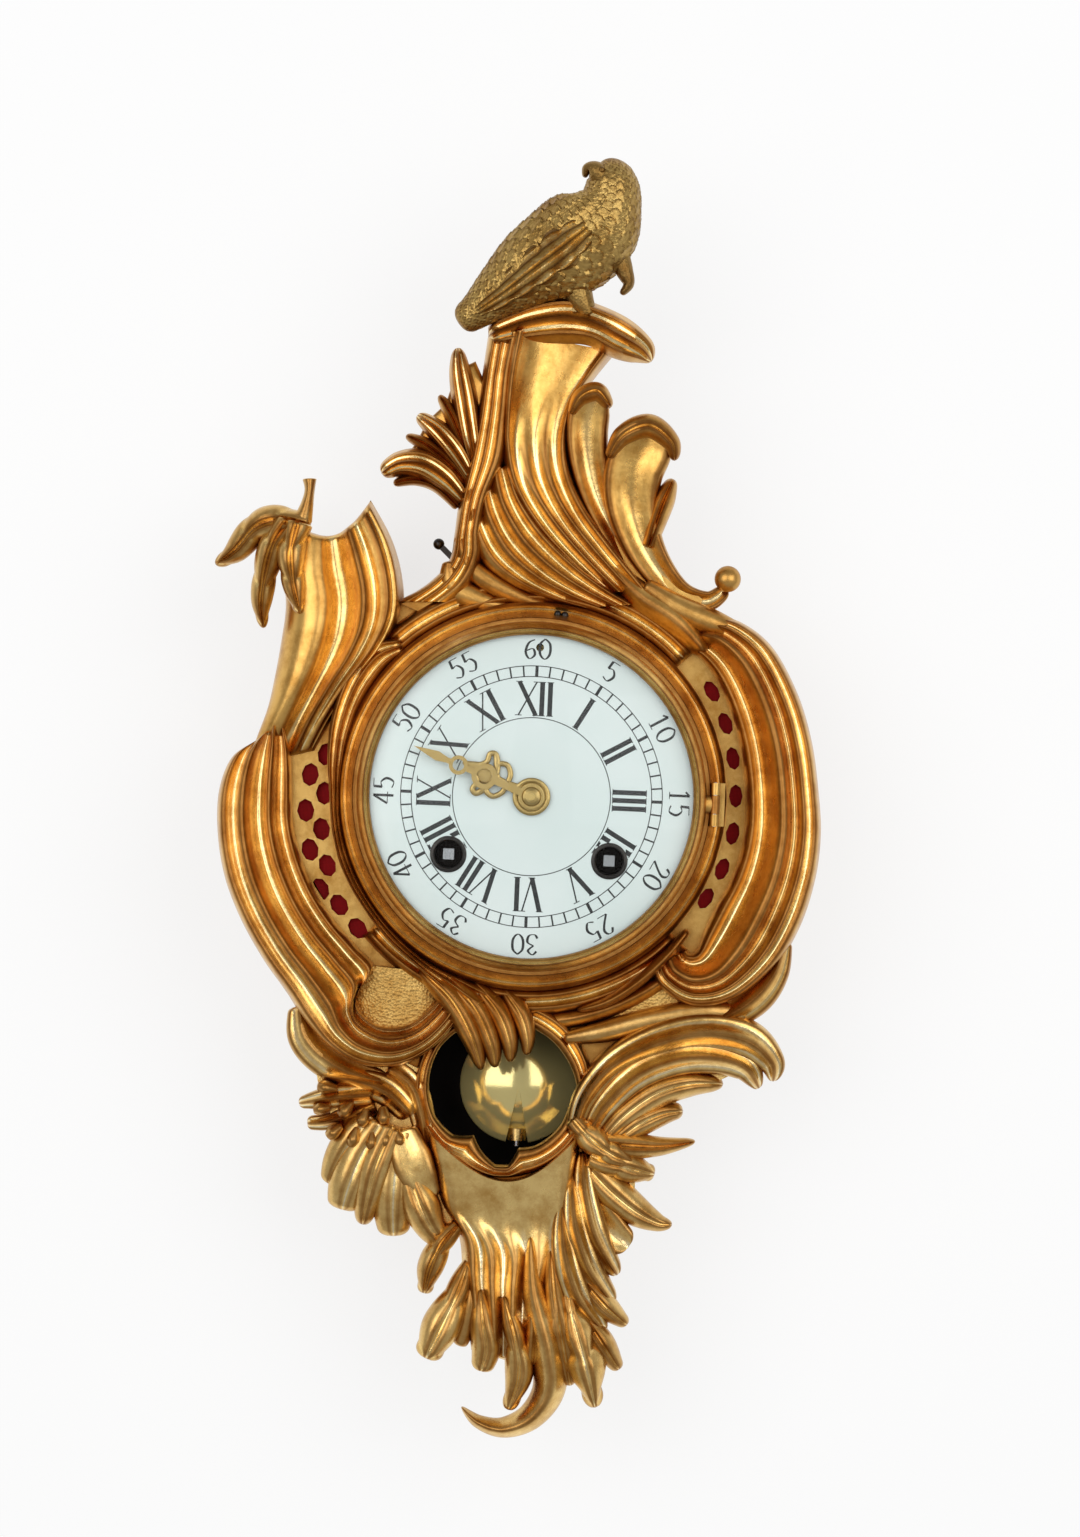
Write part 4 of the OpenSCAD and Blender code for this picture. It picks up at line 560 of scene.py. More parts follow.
def leaf(stations, hollow=0.0, vein=0.0, flutes=0, lobes=0, notch=0.35, back=0.5, curl=0.0, low=1.0,
         start=0.06, count=64, around=44):
    """A lens section along a spine of stations (x, y, half width, relief, lift). Round the section, the
    place across is -cos and the height sin of one angle. A hollow lowers the middle, a vein cuts a line
    along it, flutes add ridges, lobes notch the edges and raise ribs to their tips, back scales the
    height behind the spine, curl lifts the tip, low scales the relief, and start is the share of the
    length over which the strip grows."""
    full = [tuple(s) + (0,) * (5 - len(s)) for s in stations]
    s = spline(full, count)
    u = np.linspace(0, 1, count)[:, None]
    angle = np.linspace(0, 2 * np.pi, around, endpoint=False)[None]
    v, up = -np.cos(angle), np.sin(angle)
    tip = TIP_LEFT + (1 - TIP_LEFT) * rolled(u, start, TIP_SHARE)
    wide = s[:, 2:3] * tip
    shape = 1 - hollow * (1 - v**2) - vein * np.exp(-((v / VEIN_WIDE) ** 2)) + 0 * u
    if flutes:
        shape = shape + FLUTE_DEEP * np.cos(np.pi * flutes * v)
    if lobes:
        beat = np.abs(np.sin(np.pi * lobes * (u + LOBE_SLANT * np.abs(v))))
        wide = wide * (1 - notch * np.abs(v) * (1 - beat) ** 1.5)
        shape = shape * (1 + LOBE_RIB * np.abs(v) * (beat - 0.6))
    rise = np.where(up > 0, up * shape, up * back) * s[:, 3:4] * tip * low
    t = np.gradient(s[:, :2], axis=0)
    t /= np.linalg.norm(t, axis=1, keepdims=True)
    x = s[:, 0:1] - t[:, 1:2] * v * wide
    y = s[:, 1:2] + t[:, 0:1] * v * wide
    return place(x, y, FRONT + s[:, 4:5] + curl * u**4 + rise)


# %% Backing plates and arcs
def plate(outline, low, high):
    """A flat plate of the given outline, from low to high mm above the case front."""
    p = np.asarray(outline, float)[None]
    return place(p[..., 0], p[..., 1], FRONT + np.array([[low], [high]]))


def arc(radius, start, stop, count=9):
    """Points of a circle about the dial centre, from one angle to another in degrees."""
    a = np.radians(np.linspace(start, stop, count))
    return np.stack([radius * np.cos(a), radius * np.sin(a)], 1)


# %% Turned pieces, balls and bars
def lathe(profile, centre=(0, 0), count=180, radius=None):
    """A closed profile of (radius, out) turned about an axis out of the wall. The function radius, if any,
    gives a scale for each angle."""
    p = np.asarray(profile, float)
    angle = np.linspace(0, 2 * np.pi, count, endpoint=False)[:, None]
    r = p[None, :, 0] * (1 if radius is None else radius(angle))
    return place(centre[0] + r * np.cos(angle), centre[1] + r * np.sin(angle), p[None, :, 1]), "ring"


def ball(x, y, out, r):
    """A ball as rings from pole to pole."""
    a = np.linspace(0.04, np.pi - 0.04, 20)[:, None]
    b = np.linspace(0, 2 * np.pi, 28, endpoint=False)[None]
    return place(x + r * np.sin(a) * np.cos(b), y + r * np.cos(a), out + r * np.sin(a) * np.sin(b))


def bar(x, y0, y1, out, r):
    """A round bar along y."""
    b = np.linspace(0, 2 * np.pi, 32, endpoint=False)[None]
    return place(x + r * np.cos(b), np.array([[y0], [y1]]), out + r * np.sin(b))


# %% [markdown]
# ## Side scrolls
# Each side of the case is one big C: coves and ribs that run together from the shoulder to the foot.
# A bevelled curve would turn its section as it bends. Sweeping one section between an inner and an
# outer edge keeps the ribs parallel, as on the casting, and lets them tighten into a volute at the
# lower right. Two grooves run along the sides of the case.

# %% Left scroll
CASE_DEEP = 42
SIDE = [(1, -3), (0.94, -6), (0.94, -9), (1, -12), (1, -25), (0.94, -28), (0.94, -31), (1, -34)]
left_inner = [(-84, 24), (-81, 12), (-79.8, 0), (-79, -12), (-76, -23), (-71, -34), (-64, -44),
              (-56, -52.5), (-50, -59), (-54, -66), (-55, -72), (-48, -78), (-38, -77.5), (-30, -71),
              (-25, -64)]
left_outer = [(-92, 14), (-100, 9), (-104, -2), (-104, -16), (-101, -31), (-95, -45), (-87, -58),
              (-78.5, -69), (-71.5, -79), (-63, -87), (-52, -92), (-40, -91.5), (-30, -86), (-22, -77),
              (-18, -67)]
left_section = [(0, 0), (0.02, 7), (0.07, 9), (0.13, 7), (0.20, 8.5), (0.26, 12), (0.31, 12.5),
                (0.37, 9.5), (0.46, 9), (0.55, 13), (0.62, 16), (0.68, 15.5), (0.74, 12), (0.82, 12.5),
                (0.90, 13.5), (0.96, 10), (1, 1)] + SIDE
left_height = (0.8, 0.95, 1, 1, 1.05, 1.05, 1.05, 1, 0.95, 0.9, 0.85, 0.8, 0.75, 0.7, 0.6)
left_c = sheet(left_inner, left_outer, left_section, left_height, back=CASE_DEEP, ends=(0.035, 0.05),
               count=240, across=177)
piece("left_scroll_casting", [left_c], GILT, node="left_scroll")

# %% Right scroll
right_inner = [(49, 51), (54, 48.5), (59.5, 42), (65, 31), (69, 18), (71.2, 3), (71, -11), (68, -23.5),
               (63, -34), (59.5, -42), (57.8, -47.5), (56.5, -49.5), (54.8, -50), (53.5, -49)]
right_outer = [(56, 63), (67, 61), (78, 53), (87, 38), (92.5, 22), (95.5, 5), (96.8, -9), (95.5, -24),
               (91, -40), (83, -54), (70, -65), (56, -67.5), (45, -61.5), (41.5, -54)]
right_section = [(0, 0), (0.02, 7), (0.07, 10), (0.13, 9.5), (0.20, 7), (0.28, 8.5), (0.36, 12),
                 (0.44, 15.5), (0.52, 15.5), (0.58, 12.5), (0.64, 10.5), (0.70, 13), (0.76, 14.5),
                 (0.82, 11.5), (0.90, 12), (0.96, 9), (1, 1)] + SIDE
right_height = (0.55, 0.75, 0.9, 1, 1.05, 1.05, 1.05, 1.05, 1.05, 1, 0.95, 0.85, 0.75, 0.6)
foot_rib = leaf([(54, -42, 1.2, 6, 4), (47, -51, 1.8, 8, 4), (38, -60, 2, 8, 4), (28, -67, 1.9, 7, 3),
                 (18, -70.5, 1.2, 5, 2)])
foot = leaf([(86, -44, 3, 6, 1), (83, -55, 5.4, 8, 0), (76.5, -64, 6.4, 8, 0), (66, -71, 5, 7, 0),
             (52, -76, 3, 5, 0)], flutes=2, back=3)
right_c = sheet(right_inner, right_outer, right_section, right_height, back=CASE_DEEP, ends=(0.08, 0.02),
                count=220, across=177)
piece("right_scroll_casting", [right_c, foot_rib, foot], GILT, node="right_scroll")

# %% [markdown]
# ## Upper left scroll and its finial
# A broad flag of ribs and a deep cove rises from behind the left C and ends in a crescent, which comes
# from pulling the start of the sheet in between its edges. Both of its sides show, so its section has
# the side grooves on both. The leaf at its corner droops in three lobes from a small knob. It and the
# lower leaves get the paler gilding: their gold is paler and less red, and on the lower leaves and the
# apron the paler colour is also painted light, which makes up for the lamps lighting the lower part less.

# %% Upper left scroll
flag_left = [(-84, 88), (-86, 74), (-84.5, 60), (-85.5, 48), (-87, 37), (-89, 26), (-92.5, 15), (-95, 6)]
flag_right = [(-58, 96), (-51, 84), (-47, 71), (-46.5, 59), (-51, 48), (-59, 37), (-67, 24), (-73, 12)]
flag_section = [(0, 0), (0.02, 5), (0.08, 9), (0.17, 12), (0.28, 13), (0.36, 12), (0.41, 9.5), (0.47, 8),
                (0.54, 8.5), (0.60, 11), (0.65, 15), (0.69, 16), (0.73, 14), (0.77, 11), (0.83, 12),
                (0.89, 12.5), (0.93, 10), (0.97, 9), (1, 0)] + SIDE[:6]
flag_section = [(1 - share, rise) for share, rise in SIDE[5::-1]] + flag_section
flag_height = (0.75, 0.95, 1.05, 1.05, 1, 0.9, 0.75, 0.6)
flag = sheet(flag_left, flag_right, flag_section, flag_height, back=32, bow=8, ends=(0.04, 0.4), across=177)
piece("upper_left_casting", [flag], GILT, node="upper_left_scroll")

# %% Finial leaf
finial = [
    leaf([(-78, 102, 2.4, 3.5, 11), (-77.8, 98, 1.7, 3.5, 11), (-78.5, 93, 2.2, 4, 11),
          (-80, 87, 3.5, 5, 10)]),
    leaf([(-77, 86, 4, 6, 9), (-87, 87.5, 5.5, 7, 9), (-95, 85, 5.5, 6.5, 7), (-102, 77, 4, 5, 4),
          (-108.5, 72.5, 1.6, 3, 2)], vein=0.35, lobes=3, notch=0.15, back=0.8),
    leaf([(-84, 88, 4.5, 7, 10), (-89, 80, 4.8, 7, 9), (-91.5, 70, 4.4, 6, 6), (-92.5, 60, 3.4, 4.5, 4),
          (-91.5, 52, 1.3, 3, 3)], vein=0.35, lobes=3, notch=0.15, back=0.8),
    leaf([(-81, 88, 5, 7, 10), (-83, 77, 4.8, 7, 11), (-81.5, 66, 3.8, 5, 11), (-79, 57, 1.6, 3, 11)],
         vein=0.3, lobes=3, notch=0.15),
]
piece("finial_casting", finial, GILT_PALE, node="finial_leaf")

# %% [markdown]
# ## Crest
# The crest is a plume: ribs stand up on its left, a smooth hollow face breaks into flutes that sweep
# down to the dial, two burnished tongues curl forward on the right, and a fan of ragged leaves stands
# out on the left. Each is a sheet or a leaf of its own that runs into its neighbours, since one grid
# could not branch like this. A plate behind them closes what the casting closes.

# %% Crest plume
shaft = sheet([(-21, 154), (-22.5, 140), (-24, 125), (-26.5, 110), (-28.5, 97), (-29.5, 86), (-31, 77),
               (-38, 69), (-48, 62.5)],
              [(-9, 154), (-11.5, 140), (-12, 126), (-13, 112), (-18, 99), (-20, 88), (-19.5, 79),
               (-22, 70), (-28, 63)],
              [(0, 0), (0.06, 6), (0.18, 9), (0.30, 8), (0.42, 10.5), (0.55, 9.5), (0.70, 12.5),
               (0.85, 11.5), (1, 5)], (1, 1, 1, 1, 0.95, 0.9, 0.8, 0.7, 0.5), back=12, count=90)
face_top = [(0, 10), (0.07, 15), (0.13, 13), (0.22, 10), (0.36, 7.5), (0.5, 6.5), (0.64, 6), (0.76, 6),
            (0.87, 6.5), (0.93, 8), (0.97, 6), (1, 0)]
face_low = [(0, 7), (0.1, 11), (0.22, 9.5), (0.36, 12.5), (0.48, 9.5), (0.62, 12.5), (0.75, 9.5),
            (0.88, 11.5), (0.95, 9), (1, 0)]
face = sheet([(-13, 154), (-14.5, 141), (-15, 127), (-14.5, 114), (-11, 101), (-3, 89), (8, 78), (21, 68)],
             [(21, 149), (15, 141), (9.5, 132), (7, 121), (8.5, 109), (14, 97), (23, 85), (36, 70)],
             face_top, (1, 1, 1, 1, 1, 1, 0.9, 0.7), back=14, end=face_low, count=140, across=113)
sweep = sheet([(-28, 100), (-26, 88), (-21, 77), (-12, 70), (0, 65.5), (12, 63)],
              [(-11, 111), (-7, 100), (1, 89), (12, 78.5), (22, 71), (32, 65)],
              [(0, 2), (0.06, 7), (0.17, 9.5), (0.27, 8), (0.40, 11), (0.52, 9), (0.66, 12.5),
               (0.78, 9.5), (0.9, 11.5), (1, 5)],
              (0.8, 1, 1, 1, 0.9, 0.7), back=10, across=113)
fan = sheet([(-20, 134), (-20.5, 126), (-21, 118), (-23, 108), (-25, 96)],
            [(-25, 144), (-31.5, 140), (-33, 134), (-35, 129), (-40, 123.5), (-42.5, 118.5), (-45, 114),
             (-49, 109), (-50, 104.5), (-43, 103.5), (-36.5, 102.5), (-30, 97)],
            [(0, 4), (0.3, 4), (0.7, 3), (0.95, 2), (1, 0)], back=8, ends=(0.04, 0.04), across=65)

# %% Crest leaves
ragged = [
    leaf([(-23, 108, 2.4, 5, 2), (-25.5, 119, 4, 7, 3), (-28, 131, 4.4, 7, 3), (-30, 140.5, 3.6, 6, 3),
          (-31, 148, 1.8, 4, 3)], flutes=3),
    leaf([(-23, 106, 2.2, 4, 2), (-27.5, 115.5, 2.8, 6, 3), (-32, 125, 2.6, 6, 3),
          (-36.5, 132, 1.2, 3, 3)], vein=0.3),
    leaf([(-24, 104, 2.4, 5, 2), (-30, 113, 4, 7, 3), (-36.5, 120, 3.8, 7, 3), (-43.5, 125, 1.8, 4, 3)],
         flutes=3),
    leaf([(-25, 101, 2.2, 4, 2), (-32, 109, 2.8, 6, 3), (-40, 115, 2.6, 6, 3), (-47, 118, 1.2, 3, 3)],
         vein=0.3),
    leaf([(-26, 97, 2.6, 5, 2), (-33, 104, 4.8, 8, 3), (-41, 108.5, 5.2, 8, 4), (-48.5, 108.5, 4.2, 7, 4),
          (-54.5, 105, 2.6, 5, 4)], flutes=3),
    leaf([(-28.5, 95, 1.6, 4, 2), (-36, 101.5, 2, 6, 2), (-43, 103.5, 2, 5, 3), (-50.5, 102, 1.4, 3, 3)],
         vein=0.3),
]
tongues = [
    leaf([(33, 73, 2.5, 7, 0), (25, 86, 4, 11, 0), (18.5, 98, 5.5, 13, 1), (14.5, 110, 6.6, 13, 2),
          (13, 121, 7.2, 11, 4), (13.8, 129, 6.8, 8, 6), (16.5, 135.5, 4.2, 6, 8)], hollow=0.75, curl=3),
    leaf([(62, 72, 2.5, 7, 0), (56, 67.5, 3.4, 8, 0), (47, 69, 4.6, 10, 0), (39.5, 76, 5.6, 12, 0),
          (33, 86, 7.2, 13, 1), (29, 98, 9, 13, 2), (29, 109, 10, 12, 4), (32.5, 118, 9.6, 9, 6),
          (35.5, 124.5, 6, 7, 8)], hollow=0.75, curl=3, count=90),
    leaf([(7.5, 127, 1.2, 3, 11), (10.5, 132.5, 2.8, 5, 12), (16, 134.5, 3.2, 6, 13),
          (20.5, 129.5, 1.6, 4, 12)], back=1, vein=0.2),
    leaf([(20.5, 113, 1.4, 3, 12), (25, 120.5, 3.4, 5, 13), (33.5, 124, 4, 6, 14), (41, 119, 3, 5, 13),
          (42.5, 113, 1.4, 3, 12)], back=1, vein=0.2),
    leaf([(35, 84, 2.5, 6, 1), (37.5, 93, 3.4, 7, 2), (40, 101, 3.6, 7, 3), (42.5, 107.5, 1.7, 4, 3)],
         vein=0.3),
]
top_curl = leaf([(-21, 152, 4, 8, 4), (-8, 156.5, 7, 10, 5), (4, 158.5, 8, 11, 6), (14, 157, 7, 11, 7),
                 (23, 153, 7, 10, 7), (30, 149.5, 5, 7, 6), (33.5, 146, 2, 4, 5)], flutes=3, back=0.9)
joining_ribs = [
    leaf([(-28, 86, 2, 5, 3), (-23, 75, 3.4, 5, 4), (-11, 67.5, 3.4, 5, 4), (4, 62.5, 2, 4, 3)], low=0.8),
    leaf([(-31, 77, 2, 5, 3), (-29, 69, 4.2, 5, 3), (-19, 64, 4, 5, 3), (-6, 61, 2, 4, 2)], low=0.8),
    leaf([(22, 78, 3, 6, 3), (33, 68, 5, 7, 3), (45, 60.5, 5.6, 7, 3), (56, 50, 3, 6, 3)], flutes=1,
         low=0.8),
    leaf([(34, 72, 3, 6, 3), (46, 64.5, 4.6, 7, 3), (58, 60, 4.6, 7, 3), (70, 56, 2.6, 5, 3)], low=0.8),
]

# %% Crest casting
crest_web = plate([(-21, 150), (8, 150), (10, 145), (8, 134), (14, 126), (17, 112), (22, 104), (32, 100),
                   (36, 88), (42, 76), (54, 68), (50, 58), (30, 56), (-30, 56), (-46, 62), (-36, 68),
                   (-28, 78), (-27, 100), (-24, 120)], -13, 3)
crest = [shaft, face, sweep, fan, top_curl, crest_web, ball(62, 75, FRONT + 4, 4.4)]
piece("crest_casting", crest + tongues + ragged + joining_ribs, GILT, node="crest")

# %% [markdown]
# ## The parrot
# The bird leans from its tail, at the lower left, to its head, which it turns back over the shoulder.
# Body and head are one round section along a curved spine. Its feathers could be a bump, but a bump
# leaves the outline smooth, so they are real rows of overlapping scales: a saw-tooth along the spine,
# shifted by half a scale on every other file round it.

# %% Parrot
def feathered(stations, rows, files, depth, count=260, around=150):
    """A full round section along a spine, raised by scales. Each scale grows along its row, and its tip is
    round."""
    s = spline(stations, count)
    u = np.linspace(0, 1, count)[:, None]
    angle = np.linspace(0, 2 * np.pi, around, endpoint=False)[None]
    run = files * angle / (2 * np.pi)
    side = (run % 1) - 0.5
    tooth = (rows * u + 0.5 * (np.floor(run) % 2) + 1.3 * side**2) % 1
    grown = 1 + depth * (tooth - 0.5) * np.sin(np.pi * u) ** 0.3
    tip = TIP_LEFT + (1 - TIP_LEFT) * rolled(u, 0.07, 0.09)
    t = np.gradient(s[:, :2], axis=0)
    t /= np.linalg.norm(t, axis=1, keepdims=True)
    v = -np.cos(angle) * s[:, 2:3] * tip * grown
    rise = np.sin(angle) * s[:, 3:4] * tip * grown
    return place(s[:, 0:1] - t[:, 1:2] * v, s[:, 1:2] + t[:, 0:1] * v, FRONT + s[:, 4:5] + rise)


parrot = [
    feathered([(-31, 155.5, 4.6, 4, 10), (-25, 160, 6.2, 5.5, 11), (-17, 167, 9.5, 8, 12),
               (-7, 175, 13.5, 11, 13), (5, 182.5, 16.5, 13, 13), (13.5, 190, 15, 13, 13),
               (17.5, 198, 10.5, 11, 13), (17.5, 205.5, 8, 9, 13), (16, 211.8, 3.6, 5, 13)],
              rows=24, files=22, depth=0.06),
    leaf([(15, 204, 4, 5, 16), (12, 207, 3.4, 4.5, 17), (9.4, 207.5, 1.9, 3, 17),
          (8.6, 204.8, 0.8, 2, 16)], back=0.9),
    leaf([(11, 188, 5, 6, 21), (3, 181, 8, 7, 21), (-7, 173, 7.4, 6, 19), (-17, 165, 5.2, 4.5, 16),
          (-27, 158, 2.4, 3, 13)], flutes=5, lobes=6, notch=0.2, vein=0.2),
    leaf([(20, 182, 4, 4, 14), (23, 175, 3, 3.5, 14), (24.6, 170.5, 1.9, 3, 14), (22.3, 167, 1, 2, 14)],
         back=0.9),
    leaf([(6, 172, 6, 6, 13), (9, 165, 4.4, 5, 13), (12, 159, 3, 3.5, 13)], back=0.9),
    ball(14, 207, FRONT + 20.5, 1.2),
]
piece("parrot_casting", parrot, GILT_BIRD, node="parrot")

# %% [markdown]
# ## Dial surround and the ribbon round it
# A turned ring holds the dial. On its left a ribbon of ribs starts at the shoulder, hugs the ring down
# to the bob window, and ends there in four fingers, which are leaves that grow out of the ribbon. Two
# small blackened screws sit in the ring above the dial, where a catch for the bezel would be held.

# %% Surround ring and catch screws
RIM_TOP = -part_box("dial_surround")[0].y / MM
RING_COVE = [(54, 0), (64.5, 0), (64.8, 5), (64.4, 7.4), (63.4, 8.6), (62.4, 8), (61.7, 8.4), (61, 10),
             (60.2, 13), (59.4, 17.5), (58.8, 21.5), (58.7, 23)]
RING_RIM = [(59, 0.8), (58.6, 0), (57, 0), (57, 9), (54, 11)]
ring_profile = [(r, FRONT + up) for r, up in RING_COVE] + [(r, RIM_TOP - down) for r, down in RING_RIM]
piece("surround_ring", [lathe(ring_profile, count=220)], GILT, node="dial_surround")
CATCH_AT, CATCH_OUT, SCREW_R = ((6.0, 60.7), (8.4, 60.4)), FRONT + 10.6, 1.25
screws = [ball(x, y, CATCH_OUT, SCREW_R) for x, y in CATCH_AT]
piece("catch_screws", screws, BLACK_STEEL)

# %% Ribbon, collars and fingers
ribbon_outer = [(-45, 50.5), (-55, 49), (-61.5, 42), (-65.5, 33), (-68, 22), (-68.5, 10), (-67.5, 0),
                (-66.5, -10), (-64.5, -20), (-60.5, -30), (-54, -40), (-46, -49.5), (-36, -58),
                (-28, -65), (-22, -73)]
ribbon_inner = [(-43.5, 46), (-49, 41), (-54, 34), (-58, 26), (-61, 16), (-62.5, 6), (-63, -3),
                (-62.4, -12), (-60, -21), (-55.5, -31), (-49, -40.5), (-41, -49), (-31, -56.5),
                (-20, -61), (-6, -66)]
ribbon_section = [(0, 0), (0.06, 6), (0.2, 8.5), (0.33, 7.5), (0.5, 10.5), (0.64, 9), (0.82, 10.5),
                  (0.95, 8), (1, 0)]
ribbon = sheet(ribbon_inner, ribbon_outer, ribbon_section, (0.8, 1, 1, 1, 1, 1, 1, 1, 1.1), back=2,
               ends=(0.03, 0), count=200)
collar_section = [(0, 0), (0.1, 5), (0.3, 7), (0.5, 4.5), (0.72, 6), (0.9, 4), (1, 0)]
collars = [sheet(arc(63.5, a, b, 13), arc(73, a, b, 13), collar_section, back=2, ends=(0.05, 0.05))
           for a, b in ((44, 136), (222, 318))]
low_collar = sheet(arc(72, 276, 318, 13), arc(78.5, 274, 317, 13),
                   [(0, 0), (0.15, 4.5), (0.45, 6.5), (0.75, 5), (0.92, 3), (1, 0)],
                   (0.5, 0.9, 1, 1, 0.9), back=2, ends=(0.12, 0.1))
fingers = [leaf(stations, vein=0.15, start=0.3) for stations in [
    [(-35, -59, 3, 6, 3), (-24, -68, 4.4, 7, 5), (-16.5, -80, 4, 7, 6), (-12.5, -91.5, 1.6, 4, 6)],
    [(-27, -60, 3, 6, 3), (-16, -70.5, 4.2, 7, 5), (-10, -82, 3.6, 6, 6), (-8, -90.5, 1.5, 3.5, 6)],
    [(-17, -62, 3, 6, 3), (-8, -72, 4, 6, 5), (-4, -81, 3.3, 5, 6), (-3.2, -88.5, 1.4, 3.5, 6)],
    [(-7, -64, 3, 5, 3), (-0.5, -72.5, 3.6, 5, 5), (2, -80, 2.8, 4, 6), (2, -86, 1.3, 3, 6)],
]]
piece("surround_ribbon", [ribbon, *collars, low_collar, *fingers], GILT)

# %% [markdown]
# ## Bob window
# The window is a moulded ring whose inner edge is scalloped: two cusps at its foot leave a notch
# through which the rating nut shows. A lathe can't make it, so its inner radius is read off a list of
# angles, and the same band runs from that edge out to a round one.

# %% Window rim
WINDOW, WINDOW_R = (-5.0, -97.6), 29.8
scallop = [(0, 24.5), (30, 23), (60, 22.3), (90, 22.5), (120, 24), (150, 25.2), (180, 25), (205, 24.6),
           (225, 23), (240, 18.6), (252, 22), (266, 25.6), (276, 25.6), (286, 20.6), (300, 21.8),
           (330, 22.6), (346, 22.4), (360, 24.5)]


def window_edge(angle):
    """Radius of the window's inner edge at each angle, from the scallop list."""
    a, r = np.array(scallop, float).T
    return np.interp(np.degrees(angle) % 360, a, r)


def window_ring(count=260):
    """A rounded, grooved band from the scalloped edge out to a round one."""
    angle = np.linspace(0, 2 * np.pi, count, endpoint=False)[:, None]
    inner = window_edge(angle)
    band = spline([(0, -2), (0, 3), (0.12, 5), (0.3, 5.4), (0.45, 3.6), (0.6, 4), (0.78, 5), (0.95, 3),
                   (1, 0), (1, -2)], 40)
    r = inner + (WINDOW_R - inner) * band[None, :, 0]
    x, y = WINDOW[0] + r * np.cos(angle), WINDOW[1] + r * np.sin(angle)
    return place(x, y, FRONT + band[None, :, 1]), "ring"


piece("window_ring", [window_ring()], GILT, node="window_rim")

# %% [markdown]
# ## Stippled fields
# Two flat places are left matte: the gilder punched them all over with a small dot, so that they set
# off the burnished ribs. Thousands of dots would be heavy as shapes, so two low sheets get the
# stippled finish, which makes them by bump.

# %% Fields
left_field = sheet([(-60, -58), (-59, -66), (-58, -74), (-52, -82)],
                   [(-26, -60), (-24, -66), (-24, -72), (-28, -80)],
                   [(0, 1), (0.2, 3.4), (0.5, 4.4), (0.8, 3.6), (1, 1)], back=1)
right_field = sheet([(18, -66), (24, -70), (30, -75), (36, -81)],
                    [(76, -55), (78, -62), (77, -68), (73, -77)],
                    [(0, 1), (0.15, 3), (0.5, 4), (0.85, 3.6), (1, 1)], back=1)
piece("stippled_fields", [left_field, right_field], GILT_MATTE)

# %% [markdown]
# ## Sprays and apron
# Below the scrolls the casting breaks into leaves: buds and drooping leaves on the left, long acanthus
# flutes and pointed leaves on the right, and a smooth apron that gathers into flutes and a hooked tail.
# One leaf could be copied about, but no two are alike here, so each has its own spine.

# %% Left spray
left_leaves = [
    leaf([(-66, -96, 3, 5), (-55, -97, 5, 9), (-44, -100, 5.5, 10), (-35, -108, 4.5, 8)], flutes=2,
         low=0.8),
    leaf([(-48, -101, 4, 9, 1), (-60, -102.5, 4, 8, 2), (-67, -104, 3.2, 6, 2), (-73, -105.5, 1.8, 3, 1)],
         flutes=2, low=0.8),
    leaf([(-47, -105, 4, 8), (-57, -109, 3.6, 7), (-64, -111.3, 3, 5), (-70, -112, 2.2, 4)], flutes=2,
         low=0.8),
    leaf([(-48, -108, 4.5, 6, 2), (-55, -117, 5.8, 6, 2), (-59, -125, 5.4, 5, 1), (-62, -132, 3, 3)],
         vein=0.15),
    leaf([(-45, -110, 5, 6, 3), (-51, -121, 7, 6, 3), (-55, -132, 7, 6, 2), (-57, -140.5, 5, 4)],
         vein=0.15),
    leaf([(-41, -111, 5, 7, 3), (-46, -124, 6, 7, 4), (-48.5, -135, 5, 6, 3), (-50, -145, 2.4, 4, 1)],
         vein=0.2),
    leaf([(-37, -112, 5, 6, 3), (-39.5, -125, 7, 6, 3), (-40, -138, 7, 6, 2), (-39.5, -148.5, 4.8, 4)],
         vein=0.15),
    leaf([(-38, -112, 4.5, 6, 5), (-35, -121, 7, 7, 6), (-31, -129, 6, 6, 6), (-26.5, -135, 3, 4, 4)],
         hollow=0.5),
    leaf([(-35, -128, 5, 6, 3), (-31, -137, 6.4, 7, 4), (-27, -144.5, 5.4, 6, 3),
          (-22, -150.5, 3.2, 4, 1)], vein=0.2),
    leaf([(-74, -73, 4, 6), (-71.5, -83, 6.4, 7), (-64, -90.5, 6.6, 8), (-54, -95, 5.4, 8),
          (-43, -97.5, 4, 7)], flutes=2, back=1.5, low=0.8),
    leaf([(-44, -92, 5, 6), (-36, -98, 5, 7), (-32, -108, 4.5, 7), (-30, -118, 3.5, 6),
          (-27, -126, 2.5, 4)], flutes=2, low=0.8),
]
left_web = plate([(-68, -92), (-66, -103), (-58, -114), (-58, -128), (-56, -137), (-48, -138),
                  (-40, -144), (-32, -142), (-22, -146), (-18, -138), (-26, -122), (-28, -108),
                  (-34, -92), (-48, -86)], -8, 3)
bud_lines = [(-62, -106, -6, -1), (-58, -112, -5, -4), (-53, -112, -2, -7), (-48, -113, 0, -7),
             (-44, -112, 1, -7), (-40, -112, 2, -6), (-60, -100, -7, 1), (-55, -104, -4, -5),
             (-50, -106, -2, -6), (-45, -105, 1, -6)]
buds = [leaf([(x, y, 1.2, 3.4, 5), (x + 0.6 * dx, y + 0.6 * dy, 2.3, 4.6, 6),
              (x + dx, y + dy, 1.3, 3, 5.5)], count=32, around=20) for x, y, dx, dy in bud_lines]
piece("left_spray_casting", left_leaves + buds + [left_web], GILT_PALE, node="left_spray")

